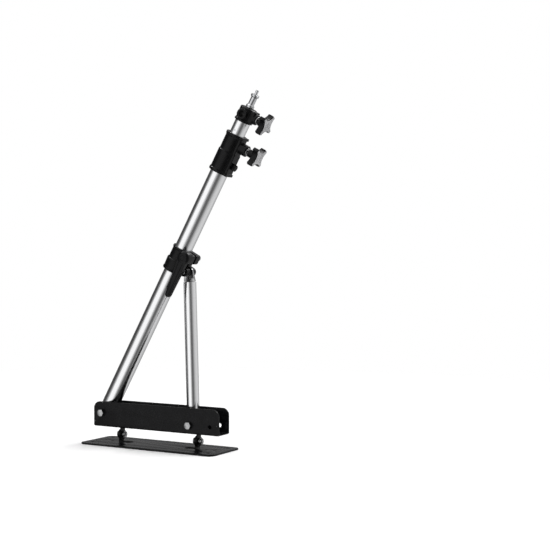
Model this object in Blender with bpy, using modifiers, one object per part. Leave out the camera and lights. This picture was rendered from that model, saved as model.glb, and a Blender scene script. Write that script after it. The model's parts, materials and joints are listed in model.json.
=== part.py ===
"""Triangle wall boom arm for studio lights.

A wall plate carries a U channel on two hinge knuckles. A two-stage telescopic
arm and a shorter support strut pivot in the channel, and a sliding clamp on
the arm holds the strut's tongue. Origin: centre of the plate's wall face.
+X runs along the plate, +Z points away from the wall. Lengths are in metres.
"""
import math

import bmesh
import bpy
from mathutils import Matrix

MM = 0.001
GAP = 0.3 * MM
ROUND_GAP = 1.4 * GAP
ROUND = 32
SMALL_ROUND = 24
OVERSHOOT = 2.0 * MM
FLAT_ANGLE = 0.01

# Wall plate
PLATE_LENGTH = 309.0 * MM
PLATE_WIDTH = 113.0 * MM
PLATE_THICKNESS = 3.0 * MM
PLATE_CORNER = 12.5 * MM
CORNER_HOLE_INSET = 19.0 * MM
CORNER_HOLE_RADIUS = 3.6 * MM
PILOT_HOLE_RADIUS = 2.4 * MM
PILOT_HOLE_X = (110.0 * MM, 128.0 * MM)

# Swing hinge between plate and channel
HINGE_HEIGHT = 18.0 * MM
LUG_OFFSET = 89.5 * MM
LUG_RADIUS = 11.0 * MM
LUG_NECK = 14.0 * MM
LUG_THICKNESS = 3.0 * MM
LANCE_LENGTH = 26.0 * MM

# Channel
CHANNEL_LENGTH = 292.0 * MM
CHANNEL_WIDTH = 41.0 * MM
CHANNEL_HEIGHT = 50.8 * MM
CHANNEL_THICKNESS = 2.5 * MM
CHANNEL_FLOOR = 33.3 * MM
CHANNEL_BEND = 3.5 * MM
CHANNEL_END_RADIUS = 14.0 * MM
CHANNEL_SHIFT = LUG_THICKNESS / 2 + GAP + CHANNEL_THICKNESS / 2
WEB_LANCE_LENGTH = 15.0 * MM
ARM_PIVOT_INSET = 18.0 * MM
ARM_PIVOT_RISE = 27.8 * MM
SUPPORT_PIVOT_X = 81.0 * MM
SUPPORT_PIVOT_RISE = 16.5 * MM
SPARE_HOLE_X = 128.7 * MM
SPARE_HOLE_RADIUS = 4.2 * MM

# Bolts
BOLT_RADIUS = 3.9 * MM
BOLT_HOLE = 4.4 * MM
HEX_RADIUS = 7.5 * MM
HEAD_THICKNESS = 5.0 * MM
NUT_THICKNESS = 6.5 * MM
BOLT_END = 1.5 * MM
SMALL_HEX_RADIUS = 6.2 * MM
SMALL_NUT_THICKNESS = 5.0 * MM
RIVET_RADIUS = 1.8 * MM
RIVET_HOLE = 2.2 * MM
RIVET_SUNK = 0.1 * MM

# Feet in the channel
FOOT_HALF_WIDTH = 14.0 * MM
FOOT_SPIGOT_END = 45.0 * MM
SUPPORT_FOOT_HALF_WIDTH = 9.0 * MM
SUPPORT_FOOT_SPIGOT_END = 40.0 * MM
SUPPORT_FOOT_RIVET = 26.0 * MM
SPACER_RADIUS = 7.0 * MM

# Telescopic arm, stations measured along the arm from its pivot
ARM_ANGLE = 61.2
OUTER_RADIUS = 17.5 * MM
INNER_RADIUS = 15.0 * MM
WALL = 1.5 * MM
OUTER_START = 12.0 * MM
OUTER_END = 590.0 * MM
INNER_START = 60.0 * MM
INNER_END = 652.0 * MM
FOOT_RIVET = 25.0 * MM
GUIDE_SPIGOT = 18.0 * MM
GUIDE_FLANGE = 12.0 * MM

# Locking collar
COLLAR_START = 546.0 * MM
COLLAR_STEP = 589.5 * MM
COLLAR_END = 626.0 * MM
COLLAR_FLANGE = 5.0 * MM
COLLAR_LOWER = 20.8 * MM
COLLAR_UPPER = 19.6 * MM
COLLAR_KNOB = 606.0 * MM
COLLAR_BOLT = 567.0 * MM
BLOCK_HALF_WIDTH = 12.0 * MM
COLLAR_LOWER_FLANGE = 22.2 * MM
COLLAR_UPPER_FLANGE = 21.0 * MM
BLOCK_LOWER_REACH = 21.6 * MM
BLOCK_UPPER_REACH = 20.4 * MM
BLOCK_FLANGE_PROUD = 2.0 * MM
BOSS_RADIUS = 11.0 * MM
BOSS_ROOT = 15.0 * MM
COLLAR_BOSS_END = 36.0 * MM
INSERT_RADIUS = 7.5 * MM
INSERT_SEAT = 28.0 * MM
INSERT_PROUD = 1.5 * MM
FIXING_HOLE = 3.4 * MM
FIXING_SHANK = 3.0 * MM
FIXING_SHANK_START = 16.3 * MM
FIXING_HEAD_RADII = (6.5 * MM, 5.4 * MM)
FIXING_HEAD_LENGTH = 7.5 * MM
BORE_START = 8.0 * MM
BORE_END = 30.0 * MM

# Head
HEAD_END = 680.0 * MM
HEAD_RADIUS = 16.8 * MM
HEAD_RIM = 18.0 * MM
CROSS_HOLE = 666.5 * MM
CROSS_HOLE_RADIUS = 6.2 * MM
HEAD_PLUG_LENGTH = 26.0 * MM
HEAD_EDGE = 1.5 * MM
HEAD_RIM_HEIGHT = 3.5 * MM
HEAD_RIVET = INNER_END - 19.0 * MM
CROSS_BOSS_RADIUS = 10.5 * MM
CROSS_BOSS_END = 19.5 * MM
HEAD_BLOCK_HALF_WIDTH = 10.0 * MM
HEAD_BLOCK_REACH = 22.0 * MM
HEAD_BOSS_RADIUS = 10.0 * MM
HEAD_BOSS_END = 27.0 * MM
HEAD_INSERT_SEAT = 19.0 * MM
SPIGOT_STEM = 4.8 * MM
SPIGOT_STEM_DEPTH = 5.5 * MM
SPIGOT_SOCKET_DEPTH = 6.0 * MM
SPIGOT_STEPS = (
    (0.0, 36.0), (2.6, 36.0), (3.2, 35.2), (3.2, 27.0), (7.6, 27.0), (8.0, 26.5),
    (8.0, 23.0), (6.0, 21.5), (6.0, 7.0), (8.0, 5.0), (8.0, 0.0),
)

# Clamping knobs
LOBE_TIP = 22.5 * MM
LOBE_WAIST = 10.5 * MM
LOBE_SHARPNESS = 1.3
LOBE_THICKNESS = 12.0 * MM
CAP_THICKNESS = 1.2 * MM
CAP_INSET = 0.8 * MM
HUB_RADIUS = 8.0 * MM
KNOB_BORE_DEPTH = 7.0 * MM
PAD_THICKNESS = 1.6 * MM
COLLAR_KNOB_PHASE = 43.0
COLLAR_KNOB_HUB = 41.0 * MM
COLLAR_KNOB_FACE = 66.0 * MM
HEAD_KNOB_PHASE = 30.0
HEAD_KNOB_HUB = 31.5 * MM
HEAD_KNOB_FACE = 52.0 * MM

# Sliding clamp and strut
CLAMP_HALF = 24.0 * MM
CLAMP_CENTRE_ABOVE_PIN = 10.4 * MM
CLAMP_BORE = 17.9 * MM
CHEEK_INNER = 3.2 * MM
CHEEK_OUTER = 17.0 * MM
EAR_RADIUS = 9.0 * MM
FORK_OFFSET = 30.7 * MM
CLAMP_BOLT_OFFSET = 26.0 * MM
CLAMP_BOLT_ABOVE_PIN = 28.4 * MM
SUPPORT_RADIUS = 12.5 * MM
SUPPORT_START = 10.0 * MM
SUPPORT_END = 278.4 * MM
PIN_STATION = 298.0 * MM
PIN_SIDESTEP = -4.0 * MM
PIN_RADIUS = 3.0 * MM
TONGUE_THICKNESS = 4.0 * MM
SLOT_TRAVEL = 4.9 * MM
SLOT_SLACK = 1.0 * MM
TONGUE_EYE = 9.8 * MM
TONGUE_STEM = 9.4 * MM
TONGUE_DEPTH = 22.0 * MM
SHOULDER_SLOPE = 0.4 * MM
TOP_RIVET_DEPTH = 9.5 * MM
TOP_PLUG_DEPTH = 26.0 * MM
TOP_PLUG_SUNK = 0.5 * MM

# Clamp body
CLAMP_FLANGE = 3.5 * MM
CLAMP_FLANGE_SLOPE = 1.0 * MM
CLAMP_TOP_RADIUS = 21.2 * MM
CLAMP_UPPER_RADIUS = 20.0 * MM
CLAMP_STEP_RADIUS = 22.3 * MM
CLAMP_STEP_SLOPE = 1.5 * MM
CLAMP_LOWER_RADIUS = 21.6 * MM
CLAMP_BOTTOM_RADIUS = 22.4 * MM
CHEEK_ROOT = 12.0 * MM
CHEEK_NOTCH = 24.0 * MM
SLIT_START = 8.0 * MM
SLIT_END = 60.0 * MM
LUG_REACH = 34.0 * MM
LUG_HALF = 12.0 * MM
LUG_TOP = 8.0 * MM
LUG_CORNER = 5.0 * MM
PIN_HOLE = PIN_RADIUS + 1.3 * GAP

# Clamp lever, depths measured from the arm's centre plane
LEVER_ROOT = 17.4 * MM
LEVER_LIFT_GAP = 0.6 * MM
LEVER_FACE = 38.0 * MM
LEVER_HUB = 13.3 * MM
LEVER_LENGTH = 84.0 * MM
LEVER_BORE = 5.2 * MM
LEVER_WEB = (23.8 * MM, 25.4 * MM)
LEVER_CAP_THICKNESS = 0.9 * MM
BLADE_DEPTHS = (2.0 * MM, 12.0 * MM)
BLADE_SIDES = (10.5 * MM, 11.0 * MM)
BLADE_TIP_RADIUS = 5.6 * MM
BLADE_TIP_SHIFT = 3.5 * MM
SPLINE_RADIUS = 6.0 * MM
SPLINE_END = 23.4 * MM
LEVER_SCREW = 2.2 * MM
SCREW_HEAD = (30.5 * MM, 33.0 * MM)
SCREW_HEAD_RADIUS = 4.4 * MM

ARM_PIVOT_X = CHANNEL_SHIFT - CHANNEL_LENGTH / 2 + ARM_PIVOT_INSET
ARM_PIVOT_Z = CHANNEL_FLOOR + ARM_PIVOT_RISE
SUPPORT_PIVOT_Z = CHANNEL_FLOOR + SUPPORT_PIVOT_RISE
CHANNEL_INNER = CHANNEL_WIDTH / 2 - CHANNEL_THICKNESS


# ---------------------------------------------------------------- scene set-up

def clear_scene():
    for item in list(bpy.data.objects):
        bpy.data.objects.remove(item, do_unlink=True)


def new_collection(name):
    collection = bpy.data.collections.new(name)
    bpy.context.scene.collection.children.link(collection)
    return collection


def new_material(name, colour, roughness, metallic):
    material = bpy.data.materials.new(name)
    material.use_nodes = True
    shader = material.node_tree.nodes["Principled BSDF"]
    shader.inputs["Base Color"].default_value = (*colour, 1.0)
    shader.inputs["Roughness"].default_value = roughness
    shader.inputs["Metallic"].default_value = metallic
    material.diffuse_color = (*colour, 1.0)
    return material


clear_scene()
PARTS = new_collection("wall_boom_arm")
TOOLS = new_collection("cutters")
GUIDES = new_collection("pivots")
POWDER_COAT = new_material("black_powder_coat", (0.012, 0.012, 0.013), 0.38, 0.0)
BLACK_PLASTIC = new_material("black_plastic", (0.010, 0.010, 0.011), 0.42, 0.0)
ALUMINIUM = new_material("satin_aluminium", (0.80, 0.81, 0.82), 0.28, 1.0)
ZINC = new_material("zinc_steel", (0.70, 0.71, 0.72), 0.32, 1.0)
CHROME = new_material("chromed_steel", (0.82, 0.83, 0.84), 0.15, 1.0)
GREY_CAP = new_material("grey_cap", (0.45, 0.45, 0.46), 0.45, 0.0)
NYLON = new_material("dark_nylon", (0.03, 0.03, 0.03), 0.55, 0.0)


# ------------------------------------------------------------- shape functions

def add_object(name, mesh, collection, pivot):
    item = bpy.data.objects.new(name, mesh)
    collection.objects.link(item)
    item.parent = pivot
    return item


def part(name, mesh, material, pivot=None):
    mesh.materials.clear()
    mesh.materials.append(material)
    mesh.shade_smooth()
    mesh.set_sharp_from_angle(angle=math.radians(32.0))
    return add_object(name, mesh, PARTS, pivot)


def tool(name, mesh, pivot=None):
    item = add_object(name, mesh, TOOLS, pivot)
    item.display_type = "WIRE"
    item.hide_render = True
    return item


def combine(target, operation, mesh):
    """Adds a Boolean of the mesh, which lies in the target's own pivot frame."""
    helper = tool(f"{target.name}_{operation.lower()}_{len(target.modifiers)}", mesh, target.parent)
    modifier = target.modifiers.new(helper.name, "BOOLEAN")
    modifier.operation = operation
    modifier.solver = "EXACT"
    modifier.object = helper


def cut(target, *meshes):
    for mesh in meshes:
        combine(target, "DIFFERENCE", mesh)


def join(target, *meshes):
    for mesh in meshes:
        combine(target, "UNION", mesh)


def axis_matrix(axis):
    """Turns a shape built along +Z so that it lies along the named axis."""
    if axis == "X":
        return Matrix(((0, 0, 1, 0), (1, 0, 0, 0), (0, 1, 0, 0), (0, 0, 0, 1)))
    if axis == "Y":
        return Matrix(((1, 0, 0, 0), (0, 0, -1, 0), (0, 1, 0, 0), (0, 0, 0, 1)))
    return Matrix.Identity(4)


def along(axis, low, high):
    """Start and end along the built +Z for a span from low to high on an axis."""
    if axis == "Y":
        return -high, -low
    return low, high


def cylinder(radius, low, high, axis="Z", centre=(0.0, 0.0), sides=SMALL_ROUND, top_radius=None):
    """Cylinder or cone; centre holds the other two coordinates in X, Y, Z order."""
    start, end = along(axis, low, high)
    first, last = radius, radius if top_radius is None else top_radius
    if axis == "Y":
        first, last = last, first
    half_step = Matrix.Rotation(math.pi / sides, 4, "Z")
    shape = bmesh.new()
    bmesh.ops.create_cone(
        shape, cap_ends=True, segments=sides, radius1=first, radius2=last, depth=end - start,
        matrix=Matrix.Translation((centre[0], centre[1], (start + end) / 2)) @ half_step,
    )
    return finish_mesh(shape, axis)


def box(low, high):
    shape = bmesh.new()
    bmesh.ops.create_cube(shape, size=1.0)
    for vertex in shape.verts:
        for i in range(3):
            vertex.co[i] = low[i] if vertex.co[i] < 0 else high[i]
    return finish_mesh(shape, "Z")


def finish_mesh(shape, axis):
    bmesh.ops.transform(shape, matrix=axis_matrix(axis), verts=shape.verts)
    mesh = bpy.data.meshes.new("shape")
    shape.to_mesh(mesh)
    shape.free()
    return mesh


def prism(outlines, low, high, axis):
    """Extruded flat outline; inner outlines are holes. Points are the two other
    coordinates in X, Y, Z order."""
    start, end = along(axis, low, high)
    curve = bpy.data.curves.new("outline", "CURVE")
    curve.dimensions = "2D"
    curve.fill_mode = "BOTH"
    curve.extrude = (end - start) / 2
    for outline in outlines:
        spline = curve.splines.new("POLY")
        spline.points.add(len(outline) - 1)
        for point, (first, second) in zip(spline.points, outline):
            point.co = (first, second, 0.0, 1.0)
        spline.use_cyclic_u = True
    carrier = bpy.data.objects.new("outline", curve)
    TOOLS.objects.link(carrier)
    bpy.context.view_layer.update()
    mesh = bpy.data.meshes.new_from_object(carrier.evaluated_get(bpy.context.evaluated_depsgraph_get()))
    bpy.data.objects.remove(carrier, do_unlink=True)
    shape = bmesh.new()
    shape.from_mesh(mesh)
    bmesh.ops.remove_doubles(shape, verts=shape.verts, dist=0.00001)
    bmesh.ops.dissolve_limit(shape, angle_limit=FLAT_ANGLE, verts=shape.verts, edges=shape.edges)
    bmesh.ops.translate(shape, verts=shape.verts, vec=(0.0, 0.0, (start + end) / 2))
    bmesh.ops.recalc_face_normals(shape, faces=shape.faces)
    return finish_mesh(shape, axis)


def turned(name, profile, material, pivot, sides=ROUND):
    """Turned solid about local Z. A hollow profile is a closed loop of radius and
    height pairs; a solid one starts and ends on the axis, top first."""
    mesh = bpy.data.meshes.new(name)
    points = [(radius, 0.0, height) for radius, height in profile]
    edges = [(i, i + 1) for i in range(len(points) - 1)]
    if profile[0][0] > 0.0:
        edges.append((len(points) - 1, 0))
    mesh.from_pydata(points, edges, [])
    mesh.materials.append(material)
    item = add_object(name, mesh, PARTS, pivot)
    screw = item.modifiers.new("turn", "SCREW")
    screw.axis = "Z"
    screw.steps = sides
    screw.render_steps = sides
    screw.use_merge_vertices = True
    screw.merge_threshold = 0.00001
    screw.use_smooth_shade = True
    return item


def ring(outer, inner, bottom, top):
    """Closed profile of a plain tube wall."""
    return [(outer, top), (outer, bottom), (inner, bottom), (inner, top)]


def arc(centre, radius, start, end, steps=8):
    points = []
    for i in range(steps + 1):
        angle = math.radians(start + (end - start) * i / steps)
        points.append((centre[0] + radius * math.cos(angle), centre[1] + radius * math.sin(angle)))
    return points


def rounded_box(low, high, lower_radius, upper_radius):
    """Rectangle outline with one radius for its lower corners and one for the upper."""
    outline = arc((high[0] - upper_radius, high[1] - upper_radius), upper_radius, 0, 90)
    outline += arc((low[0] + upper_radius, high[1] - upper_radius), upper_radius, 90, 180)
    outline += arc((low[0] + lower_radius, low[1] + lower_radius), lower_radius, 180, 270)
    outline += arc((high[0] - lower_radius, low[1] + lower_radius), lower_radius, 270, 360)
    return outline


def circle(centre, radius, sides=SMALL_ROUND):
    return arc(centre, radius, 0, 360 - 360 / sides, sides - 1)


def pivot_frame(name, x, z, angle):
    """Empty whose Z lies at the given angle above +X, in the XZ plane."""
    empty = bpy.data.objects.new(name, None)
    GUIDES.objects.link(empty)
    empty.location = (x, 0.0, z)
    empty.rotation_euler = (0.0, math.radians(90.0 - angle), 0.0)
    return empty


def hex_bolt(name, axis, seat, tip, centre, pivot=None, radius=BOLT_RADIUS, hexagon=HEX_RADIUS):
    """Hex bolt whose head's seat is at seat and whose shank ends at tip."""
    direction = 1.0 if tip > seat else -1.0
    head = sorted((seat, seat - direction * HEAD_THICKNESS))
    shank = sorted((seat - direction * HEAD_THICKNESS / 2, tip))
    bolt = part(name, cylinder(hexagon, *head, axis, centre, 6), ZINC, pivot)
    join(bolt, cylinder(radius, *shank, axis, centre))
    return bolt


def hex_nut(name, axis, low, centre, pivot=None, bore=BOLT_HOLE, hexagon=HEX_RADIUS, depth=NUT_THICKNESS):
    nut = part(name, cylinder(hexagon, low, low + depth, axis, centre, 6), ZINC, pivot)
    cut(nut, cylinder(bore, low - OVERSHOOT, low + depth + OVERSHOOT, axis, centre))
    return nut


# ------------------------------------------------------------------ wall plate

def lug_outline(root):
    """Disc on a neck, in YZ, from the hinge axis to the sheet that it is bent from."""
    side = math.degrees(math.asin(LUG_NECK / 2 / LUG_RADIUS))
    if root < HINGE_HEIGHT:
        outline = arc((0.0, HINGE_HEIGHT), LUG_RADIUS, -90 + side, 270 - side, 24)
        return outline + [(-LUG_NECK / 2, root), (LUG_NECK / 2, root)]
    outline = arc((0.0, HINGE_HEIGHT), LUG_RADIUS, 90 + side, 450 - side, 24)
    return outline + [(LUG_NECK / 2, root), (-LUG_NECK / 2, root)]


def lance_outline(inner_x, outer_x):
    """Hole left in the plate where a lug was bent up, round at its inner end."""
    towards = 1.0 if inner_x > outer_x else -1.0
    neck = LUG_NECK / 2
    end = inner_x - towards * LUG_RADIUS
    side = math.degrees(math.asin(neck / LUG_RADIUS))
    if towards > 0:
        return arc((end, 0.0), LUG_RADIUS, -180 + side, 180 - side, 20) + [(outer_x, neck), (outer_x, -neck)]
    return arc((end, 0.0), LUG_RADIUS, side, 360 - side, 20) + [(outer_x, -neck), (outer_x, neck)]


def build_wall_plate():
    half = (PLATE_LENGTH / 2, PLATE_WIDTH / 2)
    outlines = [rounded_box((-half[0], -half[1]), half, PLATE_CORNER, PLATE_CORNER)]
    for x in (-half[0] + CORNER_HOLE_INSET, half[0] - CORNER_HOLE_INSET):
        for y in (-half[1] + CORNER_HOLE_INSET, half[1] - CORNER_HOLE_INSET):
            outlines.append(circle((x, y), CORNER_HOLE_RADIUS, 16))
    for distance in PILOT_HOLE_X:
        for x in (-distance, distance):
            outlines.append(circle((x, 0.0), PILOT_HOLE_RADIUS, 12))
    edge = LUG_OFFSET - LUG_THICKNESS / 2
    outlines.append(lance_outline(-edge + LANCE_LENGTH, -edge))
    outlines.append(lance_outline(edge - LANCE_LENGTH, edge))
    plate = part("wall_plate", prism(outlines, 0.0, PLATE_THICKNESS, "Z"), POWDER_COAT)
    for side in (-1.0, 1.0):
        low = side * LUG_OFFSET - LUG_THICKNESS / 2
        outline = [lug_outline(PLATE_THICKNESS / 2), circle((0.0, HINGE_HEIGHT), BOLT_HOLE)]
        join(plate, prism(outline, low, low + LUG_THICKNESS, "X"))


def build_hinge_hardware():
    for side, name in ((-1.0, "left"), (1.0, "right")):
        low = side * LUG_OFFSET - LUG_THICKNESS / 2 - GAP
        high = side * LUG_OFFSET + LUG_THICKNESS / 2 + 2 * GAP + CHANNEL_THICKNESS
        centre = (0.0, HINGE_HEIGHT)
        hex_bolt(f"hinge_bolt_{name}", "X", low, high + NUT_THICKNESS + BOLT_END, centre)
        hex_nut(f"hinge_nut_{name}", "X", high, centre)


# --------------------------------------------------------------------- channel

def channel_section():
    """U section in YZ with bent lower corners."""
    half = CHANNEL_WIDTH / 2
    top = CHANNEL_FLOOR + CHANNEL_HEIGHT
    inner_bend = CHANNEL_BEND - CHANNEL_THICKNESS
    outer = [(half, top)]
    outer += arc((half - CHANNEL_BEND, CHANNEL_FLOOR + CHANNEL_BEND), CHANNEL_BEND, 0, -90, 5)
    outer += arc((-half + CHANNEL_BEND, CHANNEL_FLOOR + CHANNEL_BEND), CHANNEL_BEND, -90, -180, 5)
    outer += [(-half, top), (-CHANNEL_INNER, top)]
    inner = arc((-half + CHANNEL_BEND, CHANNEL_FLOOR + CHANNEL_BEND), inner_bend, -180, -90, 3)
    inner += arc((half - CHANNEL_BEND, CHANNEL_FLOOR + CHANNEL_BEND), inner_bend, -90, 0, 3)
    return outer + inner + [(CHANNEL_INNER, top)]


def build_channel():
    low = CHANNEL_SHIFT - CHANNEL_LENGTH / 2
    high = low + CHANNEL_LENGTH
    top = CHANNEL_FLOOR + CHANNEL_HEIGHT
    channel = part("channel", prism([channel_section()], low, high, "X"), POWDER_COAT)
    side_view = rounded_box((low, CHANNEL_FLOOR), (high, top), CHANNEL_BEND, CHANNEL_END_RADIUS)
    combine(channel, "INTERSECT", prism([side_view], -CHANNEL_WIDTH, CHANNEL_WIDTH, "Y"))
    for side in (-1.0, 1.0):
        near = side * LUG_OFFSET + LUG_THICKNESS / 2 + GAP
        far = near + CHANNEL_THICKNESS
        start, end = (far, far + WEB_LANCE_LENGTH) if side < 0 else (near - WEB_LANCE_LENGTH, near)
        sides = (-LUG_NECK / 2, LUG_NECK / 2)
        sheet = (CHANNEL_FLOOR - OVERSHOOT, CHANNEL_FLOOR + CHANNEL_THICKNESS + OVERSHOOT)
        cut(channel, box((start, sides[0], sheet[0]), (end, sides[1], sheet[1])))
        outline = [lug_outline(CHANNEL_FLOOR + CHANNEL_THICKNESS / 2), circle((0.0, HINGE_HEIGHT), BOLT_HOLE)]
        join(channel, prism(outline, near, far, "X"))
    wide = CHANNEL_WIDTH
    cut(channel, cylinder(BOLT_HOLE, -wide, wide, "Y", (ARM_PIVOT_X, ARM_PIVOT_Z)))
    cut(channel, cylinder(BOLT_HOLE, -wide, wide, "Y", (SUPPORT_PIVOT_X, SUPPORT_PIVOT_Z)))
    cut(channel, cylinder(SPARE_HOLE_RADIUS, -wide, wide, "Y", (SPARE_HOLE_X, SUPPORT_PIVOT_Z)))


def build_pivot_hardware():
    outside = CHANNEL_WIDTH / 2 + GAP
    pivots = (
        ("arm", ARM_PIVOT_X, ARM_PIVOT_Z, FOOT_HALF_WIDTH),
        ("support", SUPPORT_PIVOT_X, SUPPORT_PIVOT_Z, SUPPORT_FOOT_HALF_WIDTH),
    )
    for name, x, z, half_width in pivots:
        hex_bolt(f"{name}_pivot_bolt", "Y", -outside, outside + NUT_THICKNESS + BOLT_END, (x, z))
        hex_nut(f"{name}_pivot_nut", "Y", outside, (x, z))
        inner, outer = half_width + GAP, CHANNEL_INNER - GAP
        for side, low, high in (("near", -outer, -inner), ("far", inner, outer)):
            spacer = part(f"{name}_spacer_{side}", cylinder(SPACER_RADIUS, low, high, "Y", (x, z)), NYLON)
            cut(spacer, cylinder(BOLT_HOLE, low - OVERSHOOT, high + OVERSHOOT, "Y", (x, z)))


# -------------------------------------------------------------- telescopic arm

def foot_plug(name, pivot, tube_radius, start, spigot_end, half_width, rivet):
    """Eye round the pivot with a spigot up the tube."""
    eye_radius = tube_radius - GAP
    eye_top = start - GAP
    outline = arc((0.0, 0.0), eye_radius, -180, 0, 16) + [(eye_radius, eye_top), (-eye_radius, eye_top)]
    plug = part(name, prism([outline], -half_width, half_width, "Y"), BLACK_PLASTIC, pivot)
    spigot = tube_radius - WALL - ROUND_GAP
    join(plug, cylinder(spigot, eye_top - OVERSHOOT, spigot_end, sides=ROUND))
    cut(plug, cylinder(BOLT_HOLE, -tube_radius * 2, tube_radius * 2, "Y"))
    cut(plug, cylinder(RIVET_HOLE, -tube_radius * 2, tube_radius * 2, "Y", (0.0, rivet), 12))
    return plug


def build_arm_tubes(pivot):
    outer = turned("arm_outer_tube", ring(OUTER_RADIUS, OUTER_RADIUS - WALL, OUTER_START, OUTER_END), ALUMINIUM, pivot)
    wide = OUTER_RADIUS * 2
    cut(outer, cylinder(RIVET_HOLE, -wide, wide, "Y", (0.0, FOOT_RIVET), 12))
    cut(outer, cylinder(FIXING_HOLE, OUTER_RADIUS / 2, wide, "X", (0.0, COLLAR_BOLT), 16))
    inner_profile = ring(INNER_RADIUS, INNER_RADIUS - WALL, INNER_START, INNER_END)
    inner = turned("arm_inner_tube", inner_profile, ALUMINIUM, pivot)
    cut(inner, cylinder(RIVET_HOLE, -wide, wide, "Y", (0.0, HEAD_RIVET), 12))
    foot_plug("arm_foot_plug", pivot, OUTER_RADIUS, OUTER_START, FOOT_SPIGOT_END, FOOT_HALF_WIDTH, FOOT_RIVET)
    flush = OUTER_RADIUS - 2 * RIVET_SUNK
    part("arm_foot_rivet", cylinder(RIVET_RADIUS, -flush, flush, "Y", (0.0, FOOT_RIVET), 12), ZINC, pivot)
    flange = OUTER_RADIUS - WALL - ROUND_GAP
    spigot = INNER_RADIUS - WALL - ROUND_GAP
    shoulder = INNER_START - GAP
    profile = [
        (0.0, shoulder + GUIDE_SPIGOT), (spigot, shoulder + GUIDE_SPIGOT), (spigot, shoulder),
        (flange, shoulder), (flange, shoulder - GUIDE_FLANGE), (0.0, shoulder - GUIDE_FLANGE),
    ]
    turned("tube_guide", profile, NYLON, pivot)


# -------------------------------------------------------------- locking collar

def collar_profile():
    flange_low = COLLAR_START + COLLAR_FLANGE
    flange_high = COLLAR_END - COLLAR_FLANGE
    return [
        (0.0, COLLAR_END), (COLLAR_UPPER_FLANGE, COLLAR_END), (COLLAR_UPPER_FLANGE, flange_high),
        (COLLAR_UPPER, flange_high - 1.0 * MM), (COLLAR_UPPER, COLLAR_STEP + 0.8 * MM),
        (COLLAR_LOWER, COLLAR_STEP), (COLLAR_LOWER, flange_low + 1.0 * MM),
        (COLLAR_LOWER_FLANGE, flange_low), (COLLAR_LOWER_FLANGE, COLLAR_START), (0.0, COLLAR_START),
    ]


def build_collar(pivot):
    collar = turned("collar", collar_profile(), BLACK_PLASTIC, pivot)
    half, proud = BLOCK_HALF_WIDTH, BLOCK_FLANGE_PROUD
    blocks = (
        (BLOCK_LOWER_REACH, half, COLLAR_START + COLLAR_FLANGE / 2, COLLAR_STEP),
        (BLOCK_UPPER_REACH, half, COLLAR_STEP - OVERSHOOT, COLLAR_END - COLLAR_FLANGE / 2),
        (BLOCK_LOWER_REACH + 0.9 * proud, half + proud, COLLAR_START, COLLAR_START + COLLAR_FLANGE),
        (BLOCK_UPPER_REACH + proud, half + proud, COLLAR_END - COLLAR_FLANGE, COLLAR_END),
    )
    for reach, width, low, high in blocks:
        join(collar, box((4.0 * MM, -width, low), (reach, width, high)))
    join(collar, cylinder(BOSS_RADIUS, BOSS_ROOT, COLLAR_BOSS_END, "X", (0.0, COLLAR_KNOB)))
    lip = COLLAR_END - COLLAR_FLANGE
    cut(collar, cylinder(CLAMP_BORE, COLLAR_START - OVERSHOOT, lip, sides=ROUND))
    cut(collar, cylinder(INNER_RADIUS + 0.5 * MM, lip - OVERSHOOT, COLLAR_END + OVERSHOOT, sides=ROUND))
    cut(collar, cylinder(INSERT_RADIUS + GAP, INSERT_SEAT, COLLAR_BOSS_END + OVERSHOOT, "X", (0.0, COLLAR_KNOB)))
    cut(collar, cylinder(BOLT_HOLE, BORE_START, INSERT_SEAT + OVERSHOOT, "X", (0.0, COLLAR_KNOB)))
    cut(collar, cylinder(FIXING_HOLE, BORE_START, BORE_END, "X", (0.0, COLLAR_BOLT), 16))

    bush_profile = ring(OUTER_RADIUS, INNER_RADIUS + 0.45 * MM, OUTER_END + 1.0 * MM, lip - GAP)
    bush = turned("collar_bush", bush_profile, NYLON, pivot)
    cut(bush, cylinder(BOLT_HOLE, BORE_START, BORE_END, "X", (0.0, COLLAR_KNOB)))
    insert_profile = (INSERT_RADIUS, INSERT_SEAT + GAP, COLLAR_BOSS_END + INSERT_PROUD)
    build_insert("collar_insert", pivot, insert_profile, COLLAR_KNOB)
    seat = BLOCK_LOWER_REACH + GAP
    bottom, top = FIXING_HEAD_RADII
    bolt_head = cylinder(bottom, seat, seat + FIXING_HEAD_LENGTH, "X", (0.0, COLLAR_BOLT), top_radius=top)
    bolt = part("collar_fixing_bolt", bolt_head, BLACK_PLASTIC, pivot)
    join(bolt, cylinder(FIXING_SHANK, FIXING_SHANK_START, seat + OVERSHOOT, "X", (0.0, COLLAR_BOLT), 16))


def build_insert(name, pivot, size, station):
    """Threaded steel insert in the mouth of a boss."""
    radius, low, high = size
    insert = part(name, cylinder(radius, low, high, "X", (0.0, station)), ZINC, pivot)
    cut(insert, cylinder(BOLT_HOLE, low - OVERSHOOT, high + OVERSHOOT, "X", (0.0, station)))


# ----------------------------------------------------------------- clamp knobs

def knob_outline(station, phase, inset=0.0, steps=64):
    """Four-lobed star in YZ about a point on the arm; phase is measured from +Z to +Y."""
    points = []
    for i in range(steps):
        angle = 2 * math.pi * i / steps
        swell = ((1 + math.cos(4 * (angle - math.pi / 2 + math.radians(phase)))) / 2) ** LOBE_SHARPNESS
        radius = LOBE_WAIST + (LOBE_TIP - LOBE_WAIST) * swell - inset
        points.append((radius * math.cos(angle), station + radius * math.sin(angle)))
    return points


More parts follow.
